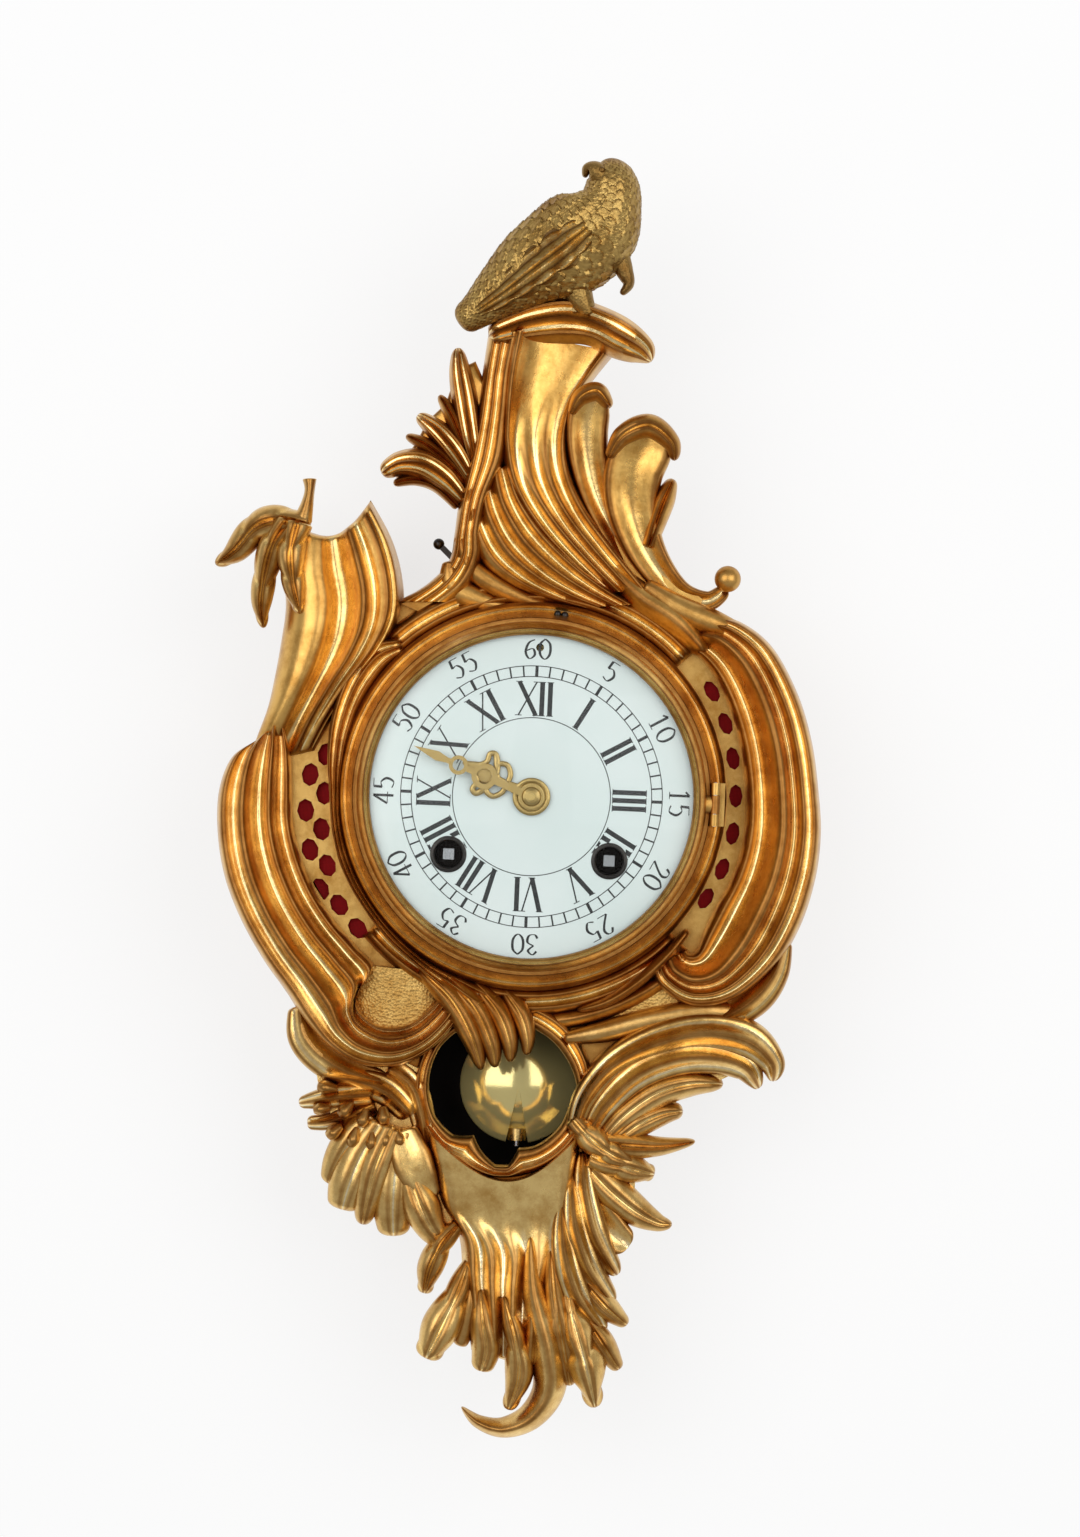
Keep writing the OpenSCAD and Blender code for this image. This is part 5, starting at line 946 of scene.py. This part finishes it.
# %% Right spray
right_leaves = [
    leaf([(19, -113, 3, 5, 2), (22, -100, 4.4, 7, 3), (31, -88, 5.6, 8, 4), (45, -80, 6.8, 9, 4),
          (61, -76, 7.2, 9, 3), (75, -78, 7, 8, 2), (83.5, -85, 4.8, 6, 1), (84.5, -91.5, 2.4, 4)],
         flutes=2, count=90),
    leaf([(23, -113, 3, 5, 2), (29, -101.5, 4.6, 7, 4), (39, -91, 5.6, 8, 5), (52, -85, 6, 9, 4),
          (65, -84, 5.8, 8, 3), (75, -87, 4.8, 6, 2), (80, -94, 2.6, 4)], flutes=2, count=90),
    leaf([(27, -115, 3, 5, 2), (35, -105, 4.8, 7, 3), (46, -96.5, 5.4, 8, 3), (57, -93, 4.6, 7, 2),
          (68, -93, 2.2, 4)], vein=0.15),
    leaf([(31, -115, 3, 5, 2), (40, -107.5, 4.6, 7, 2), (48, -103.5, 4.2, 6, 1), (55, -102.5, 2.2, 4)],
         vein=0.15),
    leaf([(26, -114, 4, 6, 4), (37, -114.5, 4.6, 6, 4), (48, -114.5, 3.2, 5, 2), (59.5, -112.5, 1.1, 3)],
         vein=0.3),
    leaf([(24, -118, 5, 6, 4), (33, -120.5, 5.8, 7, 4), (40, -122.5, 4.8, 6, 2), (46.5, -124, 2.6, 4)],
         vein=0.2, lobes=2, notch=0.15),
    leaf([(24, -122, 5, 6, 3), (31, -129, 6.2, 7, 2), (40, -136, 5.4, 6, 1), (48, -140, 3.2, 4),
          (53, -140.5, 1.3, 3)], vein=0.2),
    leaf([(21, -124, 5, 6, 2), (25.5, -135, 6.2, 7, 3), (32, -143, 6.4, 7, 2), (39, -148, 4.2, 5, 1)],
         hollow=0.8, curl=3),
    leaf([(18, -106, 3, 4, 5), (24, -112, 5, 6, 6), (32, -117.5, 4.6, 6, 6), (40, -120.5, 2, 4, 4)],
         vein=0.2, lobes=3, notch=0.2),
    leaf([(14, -80, 2, 4, 3), (26, -77.5, 3.6, 5, 3), (44, -72.5, 4.4, 6, 3), (62, -69, 4.4, 6, 3),
          (76, -70, 3, 5, 2)], low=0.8),
]
right_web = plate([(18, -112), (20, -98), (30, -88), (44, -80), (62, -76), (76, -80), (70, -90),
                   (54, -98), (48, -104), (40, -110), (48, -114), (40, -120), (40, -132), (36, -143),
                   (26, -138), (20, -124)], -8, 3)
piece("right_spray_casting", right_leaves + [right_web], GILT_PALE, node="right_spray")

# %% Apron
shield_top = [(0, 0), (0.05, 5), (0.12, 7), (0.22, 6.5), (0.34, 5.5), (0.46, 5), (0.58, 5.5), (0.7, 6),
              (0.82, 6.5), (0.9, 7), (0.96, 5), (1, 0)]
shield_low = [(0, 0), (0.04, 5), (0.10, 8), (0.17, 5), (0.26, 9.5), (0.35, 5.5), (0.44, 10), (0.53, 5.5),
              (0.62, 10.5), (0.72, 6), (0.82, 10), (0.93, 6), (1, 0)]
shield = sheet([(-31, -111), (-28, -124), (-25, -136), (-18, -147), (-16, -160), (-14, -173), (-12, -185)],
               [(21, -111), (21, -126), (21, -142), (22, -156), (22, -168), (21, -180), (19, -193)],
               shield_top, (0.8, 1, 1, 1, 0.95, 0.85, 0.7), (6, 2.5, 0, 0, 1, 2, 2),
               back=(22, 22, 20, 14, 8), bow=17, end=shield_low, ends=(0, 0.1), count=140, across=121)
flutes_down = [
    leaf([(-18, -143, 2.4, 4, 3), (-23.5, -150, 4.2, 6, 3), (-27, -158.5, 4.4, 6, 2),
          (-28.5, -167, 2.6, 4, 1)], vein=0.3, lobes=2, notch=0.2),
    leaf([(-14, -154, 2.2, 4, 3), (-17.5, -166, 4.8, 6, 4), (-22.5, -177.5, 6.6, 7, 4),
          (-27, -188, 4.6, 5, 3)], vein=0.2, lobes=2, notch=0.15, curl=3, start=0.3),
    leaf([(-13, -160, 2, 4, 3), (-13, -170, 3, 5, 3), (-15, -180, 3, 4, 2), (-16, -184, 2, 3, 1)],
         start=0.3),
    leaf([(-10, -164, 2.2, 4, 5), (-8.5, -175, 4.4, 6, 5), (-7, -183.5, 5, 6, 4),
          (-8.5, -191.5, 3.4, 4, 3)], vein=0.2, curl=3, start=0.3),
    leaf([(-2, -166, 2.2, 4, 6), (2.5, -180, 4.2, 6, 6), (4.2, -192, 4.8, 6, 4), (1, -204, 2.6, 4, 3)],
         vein=0.2, lobes=2, notch=0.2, curl=2, start=0.3),
    leaf([(6, -146, 2.4, 4, 6), (8, -164, 4.4, 6, 6), (13, -182, 6, 8, 4), (14.5, -196, 5.6, 8, 2),
          (9, -206, 4.6, 7, 1), (0, -210.5, 3.5, 6), (-8.5, -209, 2.3, 4), (-14.5, -204.3, 0.9, 3)],
         flutes=1, start=0.25, count=120),
    leaf([(13, -150, 2.2, 4, 5), (15, -166, 4, 6, 5), (18.5, -182, 4.8, 6, 4), (21.5, -195.5, 2.2, 4, 2)],
         vein=0.2, start=0.3),
    leaf([(22, -117, 2.4, 4, 5), (23.5, -131, 4.2, 6, 5), (27.5, -145, 5, 7, 4), (35.5, -158, 2.6, 4, 2)],
         flutes=2, start=0.2),
    leaf([(19, -124, 2.4, 4, 5), (20.5, -140, 4.4, 6, 6), (25.5, -155, 5.2, 7, 4),
          (34.5, -167.5, 2.8, 4, 2)], flutes=2, start=0.2),
    leaf([(16, -134, 2.4, 4, 5), (17.5, -150, 4.6, 6, 6), (22.5, -165, 5.2, 7, 4), (32, -177, 3, 4, 2)],
         flutes=2, start=0.2),
    leaf([(18, -160, 3, 5, 3), (21.5, -173, 6, 7, 4), (26, -187, 7, 7, 4), (30, -202, 2.8, 4, 2)],
         vein=0.2, flutes=1, lobes=3, notch=0.3, curl=3, start=0.25),
    leaf([(24, -160, 3, 5, 3), (31.5, -168, 4.4, 6, 3), (39.5, -174.5, 1.8, 3, 1)], vein=0.25),
    leaf([(25, -172, 3, 5, 3), (31.5, -181, 4.4, 6, 3), (37.5, -189.5, 2, 3, 1)], vein=0.25),
]
piece("apron_casting", [shield] + flutes_down, GILT_PALE, node="apron")

# %% [markdown]
# ## Bezel, glass and bob
# Bezel and bob are turned on a lathe on the real clock too, and the glass is a round dome, so each is a
# fine profile turned about its axis. A profile with few points, as in the CAD, would show facets in
# such glossy pieces. The bezel keeps the knuckle of its hinge, and the bob keeps the gap in which the
# rating nut turns.

# %% Bezel
def dome(radius, rise, count=40):
    """A shallow cap as (radius, height) from rim to axis: a circle's arc of the given rise."""
    ball_r = (radius**2 + rise**2) / (2 * rise)
    a = np.linspace(np.arcsin(radius / ball_r), 0.0004, count)
    return np.stack([ball_r * np.sin(a), ball_r * np.cos(a) - ball_r + rise], 1)


bezel_low, bezel_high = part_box("bezel")
BEZEL_R = -bezel_low.x / MM
BEZEL_Z, BEZEL_TOP = -bezel_high.y / MM, -bezel_low.y / MM
BEZEL_HOLE_R = 54.8
BEZEL_STEPS = [(0, 0), (0, 2.2), (0.35, 4), (1, 5.4), (1.7, 6.2), (2.4, BEZEL_TOP - BEZEL_Z), (3.1, 6.2),
               (3.8, 5.7), (4.3, 4.9), (4.5, 4.2), (4.5, 3.6), (3.5, 3.6), (3.5, 1.7)]
bezel_profile = [(BEZEL_HOLE_R, BEZEL_Z)] + [(BEZEL_R - inward, BEZEL_Z + up) for inward, up in BEZEL_STEPS]
bezel_profile.append((BEZEL_HOLE_R, BEZEL_Z + 1.1))
hinge_at = np.array(JOINTS["bezel_hinge_swing"]["pos_m"]) / MM
KNUCKLE_HALF, KNUCKLE_R = 3, 1.6
knuckle = bar(hinge_at[0], -KNUCKLE_HALF, KNUCKLE_HALF, -hinge_at[1], KNUCKLE_R)
web = leaf([(BEZEL_R - 1.5, 0, 2.9, 1.5, BEZEL_Z + 1.6 - FRONT),
            (hinge_at[0], 0, 2.9, 1.4, BEZEL_Z + 1.4 - FRONT)], back=0.8, count=12)
piece("bezel_ring", [lathe(bezel_profile, count=220), knuckle, web], GILT, "bezel", "bezel",
      40)

# %% Glass
glass_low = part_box("glass")[0]
GLASS_R, GLASS_TOP = -glass_low.x / MM, -glass_low.y / MM
DOME_R, DOME_RISE, GLASS_T = 52.8, 11.0, 1.5
glass_foot = GLASS_TOP - DOME_RISE
outer_dome = dome(DOME_R, DOME_RISE) + (0, glass_foot)
inner_dome = outer_dome[::-1] - (0, GLASS_T)
glass_edge = [(GLASS_R, glass_foot - GLASS_T), (GLASS_R, glass_foot)]
glass_profile = np.concatenate([glass_edge, outer_dome, inner_dome])
piece("domed_glass", [lathe(glass_profile)], GLASS, "bezel", "glass", 60)

# %% Bob
BOB_R, BOB_THICK, BOB_RISE = 20.0, 11.0, 6.0
NUT_HALF, NUT_TOP = 3.8, 15.2
BOB_OUT = -JOINTS["pendulum_swing"]["pos_m"][1] / MM
BOB_Y = bob_high.z / MM + DROP - BOB_R
back_lens = dome(BOB_R, BOB_THICK / 2 - 1) + (0, 1)
front_lens = dome(BOB_R, BOB_RISE) + (0, 1)


def bob_gap(angle):
    """Share of the full radius: the lower edge is cut straight over the width of the rating nut."""
    low = (np.sin(angle) < 0) & (np.abs(np.cos(angle)) * BOB_R < NUT_HALF)
    return np.where(low, np.minimum(1, NUT_TOP / (BOB_R * np.maximum(-np.sin(angle), 0.5))), 1.0)


lens = np.concatenate([front_lens, back_lens[::-1] * (1, -1)]) + (0, BOB_OUT)
piece("lens_bob", [lathe(lens, (0, BOB_Y), 360, bob_gap)], BOB, "pendulum", "pendulum_bob",
      60)

# %% [markdown]
# ## Numerals
# The dial is painted in black: Roman hours that stand on an inner circle, a ladder of minutes, and
# Arabic fives outside it. A typeface would be sharper than the painter's brush and would bring its own
# style, so every mark is a pen stroke: a ribbon along a line, thick where the pen runs up and down and
# thin where it runs across, laid on the dome of the enamel.

# %% Pen strokes on the dome
DIAL_TOP = -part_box("dial")[0].y / MM
DIAL_R, DIAL_RISE = 54.5, 1.2
PAINT_T, PAINT_SUNK = 0.06, 0.2
PAINT_SKIN = np.array([[PAINT_T, PAINT_T, -PAINT_SUNK, -PAINT_SUNK]])


def on_dial(x, y, above):
    """Points on the dome of the dial, lifted by above mm."""
    ball_r = (DIAL_R**2 + DIAL_RISE**2) / (2 * DIAL_RISE)
    return place(x, y, DIAL_TOP - ball_r + np.sqrt(ball_r**2 - x**2 - y**2) + above)


WIND_AT = np.array([JOINTS[j]["pos_m"] for j in ("going_winding", "strike_winding")])
WIND_AT = WIND_AT[:, [0, 2]] / MM + (0, DROP)
WIND_HOLE_R, HOLE_DEPTH = 5.4, 9.0


def stroke(line, thick, thin, turn, radius, size):
    """A pen stroke: points in a letter's own box, scaled by size, set at radius and turned by turn degrees
    clockwise. The half width goes from thin to thick with the share of the stroke that runs upwards, and
    where the stroke meets a winding hole it sinks into it."""
    p = np.asarray(line, float) * size
    p = p if len(p) > 2 else np.linspace(p[0], p[1], 16)
    t = np.gradient(p, axis=0)
    t /= np.linalg.norm(t, axis=1, keepdims=True) + 1e-9
    half = thin + (thick - thin) * np.abs(t[:, 1:2]) ** 1.5
    n = np.stack([-t[:, 1], t[:, 0]], 1)
    a = np.radians(turn)
    spin = np.array([[np.cos(a), -np.sin(a)], [np.sin(a), np.cos(a)]])
    left, right = ((p + s * half * n + (0, radius)) @ spin for s in (1, -1))
    ring = np.stack([left, right, right, left], 1)
    to_hole = np.linalg.norm(ring[:, :, None] - WIND_AT, axis=-1).min(-1)
    above = PAINT_SKIN - HOLE_DEPTH * (to_hole < WIND_HOLE_R)
    return on_dial(ring[..., 0], ring[..., 1], above)


# %% Roman hours
ROMAN_PEN = {
    "I": [((0.5, 0), (0.5, 1), 1)],
    "V": [((0, 1), (0.5, 0), 1), ((0.5, 0), (1, 1), 0)],
    "X": [((0, 1), (1, 0), 1), ((0, 0), (1, 1), 0)],
}
ROMAN_WIDTH = {"I": 0.24, "V": 0.62, "X": 0.62}
HOURS = ["I", "II", "III", "IIII", "V", "VI", "VII", "VIII", "IX", "X", "XI", "XII"]
ROMAN_FOOT, ROMAN_SIZE = 26.6, 11.0
LIGHT_PEN, HEAVY_PEN, SERIF_PEN = (0.24, 0.2), (0.78, 0.3), (0.13, 0.13)
SERIF, STEM_MARGIN = np.array((0.1, 0)), 0.08


def roman(word, turn):
    """The strokes of a Roman numeral: thick and thin stems, each with a thin foot and head."""
    width = sum(ROMAN_WIDTH[c] for c in word)
    x, strokes = -width / 2, []
    for c in word:
        w = ROMAN_WIDTH[c]
        for p, q, heavy in ROMAN_PEN[c]:
            a, b = (np.array((x + w * (STEM_MARGIN + (1 - 2 * STEM_MARGIN) * k[0]), k[1])) for k in (p, q))
            pen = HEAVY_PEN if heavy else LIGHT_PEN
            strokes.append(stroke([a, b], *pen, turn, ROMAN_FOOT, ROMAN_SIZE))
            for tip in (a, b):
                strokes.append(stroke([tip - SERIF, tip + SERIF], *SERIF_PEN, turn, ROMAN_FOOT, ROMAN_SIZE))
        x += w
    return strokes


# %% Arabic fives
DIGITS = {
    "0": [[(0.3, 1), (0.06, 0.75), (0.06, 0.25), (0.3, 0), (0.54, 0.25), (0.54, 0.75), (0.3, 1)]],
    "1": [[(0.1, 0.8), (0.3, 1)], [(0.3, 1), (0.3, 0)], [(0.12, 0), (0.48, 0)]],
    "2": [[(0.08, 0.76), (0.2, 0.97), (0.42, 0.96), (0.52, 0.74), (0.36, 0.42), (0.06, 0.02)],
          [(0.06, 0.02), (0.56, 0.04)]],
    "3": [[(0.08, 0.82), (0.28, 1), (0.5, 0.8), (0.24, 0.55)],
          [(0.24, 0.55), (0.54, 0.38), (0.48, 0.06), (0.2, 0), (0.06, 0.18)]],
    "4": [[(0.42, 0), (0.42, 1)], [(0.42, 1), (0.02, 0.3)], [(0.02, 0.3), (0.6, 0.3)]],
    "5": [[(0.14, 1), (0.54, 1)], [(0.14, 1), (0.11, 0.58)],
          [(0.11, 0.58), (0.36, 0.64), (0.55, 0.36), (0.38, 0.02), (0.08, 0.1)]],
    "6": [[(0.5, 0.95), (0.2, 0.78), (0.06, 0.32), (0.26, 0), (0.52, 0.2), (0.42, 0.5), (0.12, 0.4)]],
}
ARABIC_FOOT, ARABIC_SIZE, ARABIC_PEN = 45.2, 6.6, (0.42, 0.13)
DIGIT_STEP, DIGIT_MIDDLE = 0.72, 0.3


def arabic(word, turn):
    """The strokes of an Arabic number, its digits side by side."""
    strokes = []
    for k, c in enumerate(word):
        shift = (k - (len(word) - 1) / 2) * DIGIT_STEP - DIGIT_MIDDLE
        for pen in DIGITS[c]:
            run = np.array(pen, float) if len(pen) == 2 else spline(pen, 26)
            strokes.append(stroke(run + (shift, 0), *ARABIC_PEN, turn, ARABIC_FOOT, ARABIC_SIZE))
    return strokes


# %% Circles, ladder and the painted dial
def circle(radius, half, count=240):
    """A painted circle: a flat ring of the given half width."""
    a = np.linspace(0, 2 * np.pi, count, endpoint=False)[:, None]
    r = radius + half * np.array([[1, -1, -1, 1]])
    return on_dial(r * np.cos(a), r * np.sin(a), PAINT_SKIN), "ring"


HOUR_RING, MINUTE_IN, MINUTE_OUT, RING_HALF = 25.9, 39.4, 42.9, 0.14
MINUTE_PEN, FIVE_PEN = (0.26, 0.1), (0.5, 0.1)
marks = [s for k, word in enumerate(HOURS) for s in roman(word, 30 * (k + 1))]
marks += [s for k in range(1, 13) for s in arabic(str(5 * k), 30 * k)]
marks += [circle(radius, RING_HALF) for radius in (HOUR_RING, MINUTE_IN, MINUTE_OUT)]
for minute in range(60):
    pen = MINUTE_PEN if minute % 5 else FIVE_PEN
    marks.append(stroke([(0, 0), (0, 1)], *pen, 6 * minute, MINUTE_IN, MINUTE_OUT - MINUTE_IN))
piece("dial_marks", marks, PAINT, sharp=30)

# %% [markdown]
# ## Winding holes and the hour hand
# Each winding hole is lined with a sleeve, which keeps the key off the enamel; the sleeve is black
# steel, and its black also paints the shade down the hole. The hour hand is pierced: thin scrolls,
# filed from sheet brass, stand on both sides of a leaf. Holes could be cut in a flat shape, but strips
# laid side by side also give the scrolls their rounded tops. The hand points where its CAD node points,
# so its direction is read from the point of the node that is farthest out.

# %% Winding sleeves
# The black of the sleeves paints the shade inside the winding holes.
SLEEVE_R, SLEEVE_OUT_R, FLANGE_R = 4.5, 5.1, 6.0
hole_out = DIAL_TOP - DIAL_RISE * (np.hypot(*WIND_AT[0]) / DIAL_R) ** 2
SLEEVE_STEPS = [(SLEEVE_R, -2), (SLEEVE_OUT_R, -2), (SLEEVE_OUT_R, -0.1), (FLANGE_R, -0.1), (FLANGE_R, 0.2),
                (FLANGE_R - 0.5, 0.4), (SLEEVE_R + 0.3, 0.4), (SLEEVE_R, 0.1)]
sleeve = [(r, hole_out + up) for r, up in SLEEVE_STEPS]
piece("winding_sleeves", [lathe(sleeve, at, 64) for at in WIND_AT], BLACK_STEEL,
      sharp=35)


# %% Hour hand
def pointing(node):
    """Angle of a hand, clockwise from twelve: that of its farthest point from the dial centre."""
    mesh = frame["nodes"][node].data
    p = np.empty(3 * len(mesh.vertices))
    mesh.vertices.foreach_get("co", p)
    p = p.reshape(-1, 3)[:, [0, 2]] / MM + (0, DROP)
    far = p[np.argmax(np.hypot(p[:, 0], p[:, 1]))]
    return np.arctan2(far[0], far[1])


def hand_strips(strips, node):
    """Strips of (across, along, half width) on a hand's own axis, turned with it, as thick as its node."""
    a = pointing(node)
    low, high = sorted(-corner.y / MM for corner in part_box(node))
    flat = (0.5 * (high - low), 0.5 * (low + high) - FRONT)
    turn = [[(x * np.cos(a) + y * np.sin(a), y * np.cos(a) - x * np.sin(a), w, *flat) for x, y, w in s]
            for s in strips]
    return [leaf(s, back=1.0, count=40, around=20) for s in turn]


hour_low, hour_high = sorted(-corner.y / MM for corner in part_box("hour_hand"))
hour_strips = [[(0, 4, 2.2), (0, 8, 1.5), (0, 11, 1.3), (0, 14, 1.6)],
               [(0, 12, 1.6), (0, 16, 3.4), (0, 19.5, 2.8), (0, 25.3, 0.5)]]
for s in (1, -1):
    hour_strips += [[(0.6 * s, 9, 0.9), (3.4 * s, 9.4, 0.9), (5.6 * s, 11.6, 0.9), (4.8 * s, 14.2, 0.9),
                     (2.2 * s, 14, 0.8)],
                    [(1 * s, 13.4, 1), (4 * s, 14.6, 1.1), (7 * s, 16.6, 1), (6.4 * s, 18.4, 0.9),
                     (3.6 * s, 18.2, 0.9), (1.2 * s, 20.5, 0.8)]]
HUB_IN_R, HUB_R = 2.9, 6.2
HUB_TOP = [(HUB_R, 0.3), (5.8, 0), (5, 0), (4.6, 0.25), (4, 0.25), (3.6, 0), (HUB_IN_R, 0)]
hour_hub = [(HUB_IN_R, hour_low), (HUB_R, hour_low)] + [(r, hour_high - down) for r, down in HUB_TOP]
hour_hand = [lathe(hour_hub, count=96)] + hand_strips(hour_strips, "hour_hand")
piece("hour_hand_pierced", hour_hand, HANDS, "hour_hand", "hour_hand")

# %% [markdown]
# ## Silk behind the frets
# A piece of red silk is stretched behind each fret, so that the pierced holes glow red. A cloth that
# is stretched flat needs no simulation: it is a thin closed sheet between the ring and the fret's outer
# edge, with a slight sag, and it is cut a little larger than the holes that it shows in.

# %% Silk
SILK_IN_R, SILK_BEHIND, SILK_SAG, SILK_T = 64.9, 2.08, 0.25, 0.22
SILK_ROWS, SILK_COLUMNS, LEAST_CUT = 60, 24, 10 * MM


def silk_sheet(name, edge, node):
    """A thin sheet between a circle just outside the surround and the given outer edge."""
    outer_edge = spline(edge, SILK_ROWS)[:, None]
    inner_edge = outer_edge / np.linalg.norm(outer_edge, axis=2, keepdims=True) * SILK_IN_R
    u = np.linspace(0, 1, SILK_ROWS)[:, None]
    v = np.linspace(0, 1, SILK_COLUMNS)[None]
    xy = inner_edge + (outer_edge - inner_edge) * v[..., None]
    out = FRONT - SILK_BEHIND - SILK_SAG * np.sin(np.pi * v) * np.sin(np.pi * u)
    top = place(xy[..., 0], xy[..., 1], out)
    low = place(xy[..., 0], xy[..., 1], out - SILK_T)
    cloth = piece(name, [np.concatenate([top, low[:, ::-1]], 1)], SILK, node=node)


left_edge = [(-66, 20), (-75.5, 11), (-78.5, 1), (-78.5, -10), (-75.5, -22), (-70.5, -33), (-63.5, -43),
             (-55.5, -50.5), (-47.5, -57)]
right_edge = [(50, 48.5), (56, 46), (62, 39), (66.7, 28.5), (69.7, 15.5), (70.7, 2), (69.7, -12), (66, -25),
              (60.5, -35), (53.5, -42.5), (48, -46.5)]
silk_sheet("left_silk_cloth", left_edge, "left_silk")
silk_sheet("right_silk_cloth", right_edge, "right_silk")

# %% [markdown]
# ## Stage
# The clock hangs on a white wall. A plain white sheet turns grey away from the lamps, so it also glows
# a little. It is one-sided: seen from behind it is clear, so that the back of the clock can be looked
# at too. Two softboxes light the clock from the upper left and right, and a grey room fills the shade.

# %% Wall
WALL_WHITE, WALL_GLOW = (0.95, 0.95, 0.95, 1), 0.74


def wall_finish():
    """White wall: it takes soft shadows, glows a little to stay white, and is clear from behind."""
    m, tree, shader = material_of("white_wall")
    shader.inputs["Base Color"].default_value = WALL_WHITE
    shader.inputs["Roughness"].default_value = 0.9
    glow = add(tree, "Emission", Color=(1, 1, 1, 1), Strength=1.0)
    ray = add(tree, "LightPath").outputs
    seen = compute(tree, "MAXIMUM", ray["Is Camera Ray"], ray["Is Glossy Ray"])
    seen = compute(tree, "MAXIMUM", seen, ray["Is Transmission Ray"])
    white = layer(tree, compute(tree, "MULTIPLY", seen, WALL_GLOW), shader, glow)
    behind = add(tree, "NewGeometry").outputs["Backfacing"]
    both = layer(tree, behind, white, add(tree, "BsdfTransparent"))
    tree.links.new(both.outputs[0], tree.nodes["Material Output"].inputs["Surface"])
    return m


WALL_HALF, WALL_Y = 4.0, 0.0006
corners = [(x * WALL_HALF, WALL_Y, z * WALL_HALF) for x, z in ((-1, -1), (1, -1), (1, 1), (-1, 1))]
wall_mesh = bpy.data.meshes.new("wall")
wall_mesh.from_pydata(corners, [], [(0, 1, 2, 3)])
wall_mesh.materials.append(wall_finish())
wall = bpy.data.objects.new("wall", wall_mesh)
bpy.context.scene.collection.objects.link(wall)

# %% Lamps and world
def softbox(name, at, look, width, height, power):
    """A rectangular lamp at a point, facing another one."""
    lamp = bpy.data.lights.new(name, "AREA")
    lamp.shape = "RECTANGLE"
    lamp.size, lamp.size_y, lamp.energy = width, height, power
    obj = bpy.data.objects.new(name, lamp)
    bpy.context.scene.collection.objects.link(obj)
    obj.location = at
    obj.rotation_euler = (Vector(look) - Vector(at)).to_track_quat("-Z", "Y").to_euler()


MIDDLE, LAMP_SIZE, LAMP_WATTS = (0, -0.05, -0.08), (1.1, 1.0), 7.6
LAMPS = {"left_softbox": (-0.66, -1.3, 0.16), "right_softbox": (0.76, -1.25, 0.20)}
ROOM_GREY = (0.46, 0.46, 0.46, 1)
for name, at in LAMPS.items():
    softbox(name, at, MIDDLE, *LAMP_SIZE, LAMP_WATTS)
world = bpy.data.worlds.new("studio")
bpy.context.scene.world = world
world.use_nodes = True
sky = world.node_tree
room = sky.nodes["Background"]
room.inputs["Color"].default_value = ROOM_GREY
plain = add(sky, "Background", Color=(1, 1, 1, 1))
pick = layer(sky, add(sky, "LightPath").outputs["Is Camera Ray"], room, plain)
sky.links.new(pick.outputs[0], sky.nodes["World Output"].inputs["Surface"])
print(f"stage: a wall, {len(LAMPS)} softboxes of {LAMP_WATTS} W, a grey room that the camera sees as white")

# %% [markdown]
# ## Camera
# The photograph looks straight at the clock through a long lens, and the clock hangs a little askew in
# it, so the camera is rolled by the same angle. Its frame is 1537 pixels high, and a pixel at the dial
# is a third of a millimetre.

# %% Camera
FRAME_PX, MM_PER_PX, ROLL_DEG, CAMERA_AWAY = 1537, 0.33, 2.5, 1.6
AIM = Vector((2.4 * MM, -70 * MM, (9.35 - DROP) * MM))
camera = bpy.data.cameras.new("camera")
camera.sensor_fit = "VERTICAL"
camera.sensor_height = 36.0
camera.lens = camera.sensor_height * CAMERA_AWAY / (FRAME_PX * MM_PER_PX * MM)
eye = bpy.data.objects.new("camera", camera)
bpy.context.scene.collection.objects.link(eye)
upright = Matrix.Rotation(np.radians(90), 4, "X")
roll = Matrix.Rotation(np.radians(ROLL_DEG), 4, "Z")
eye.matrix_world = Matrix.Translation(AIM + Vector((0, -CAMERA_AWAY, 0))) @ upright @ roll
bpy.context.scene.camera = eye
bpy.context.scene.view_settings.view_transform = "Standard"
print(f"camera: {camera.lens:.0f} mm lens, {CAMERA_AWAY} m away")
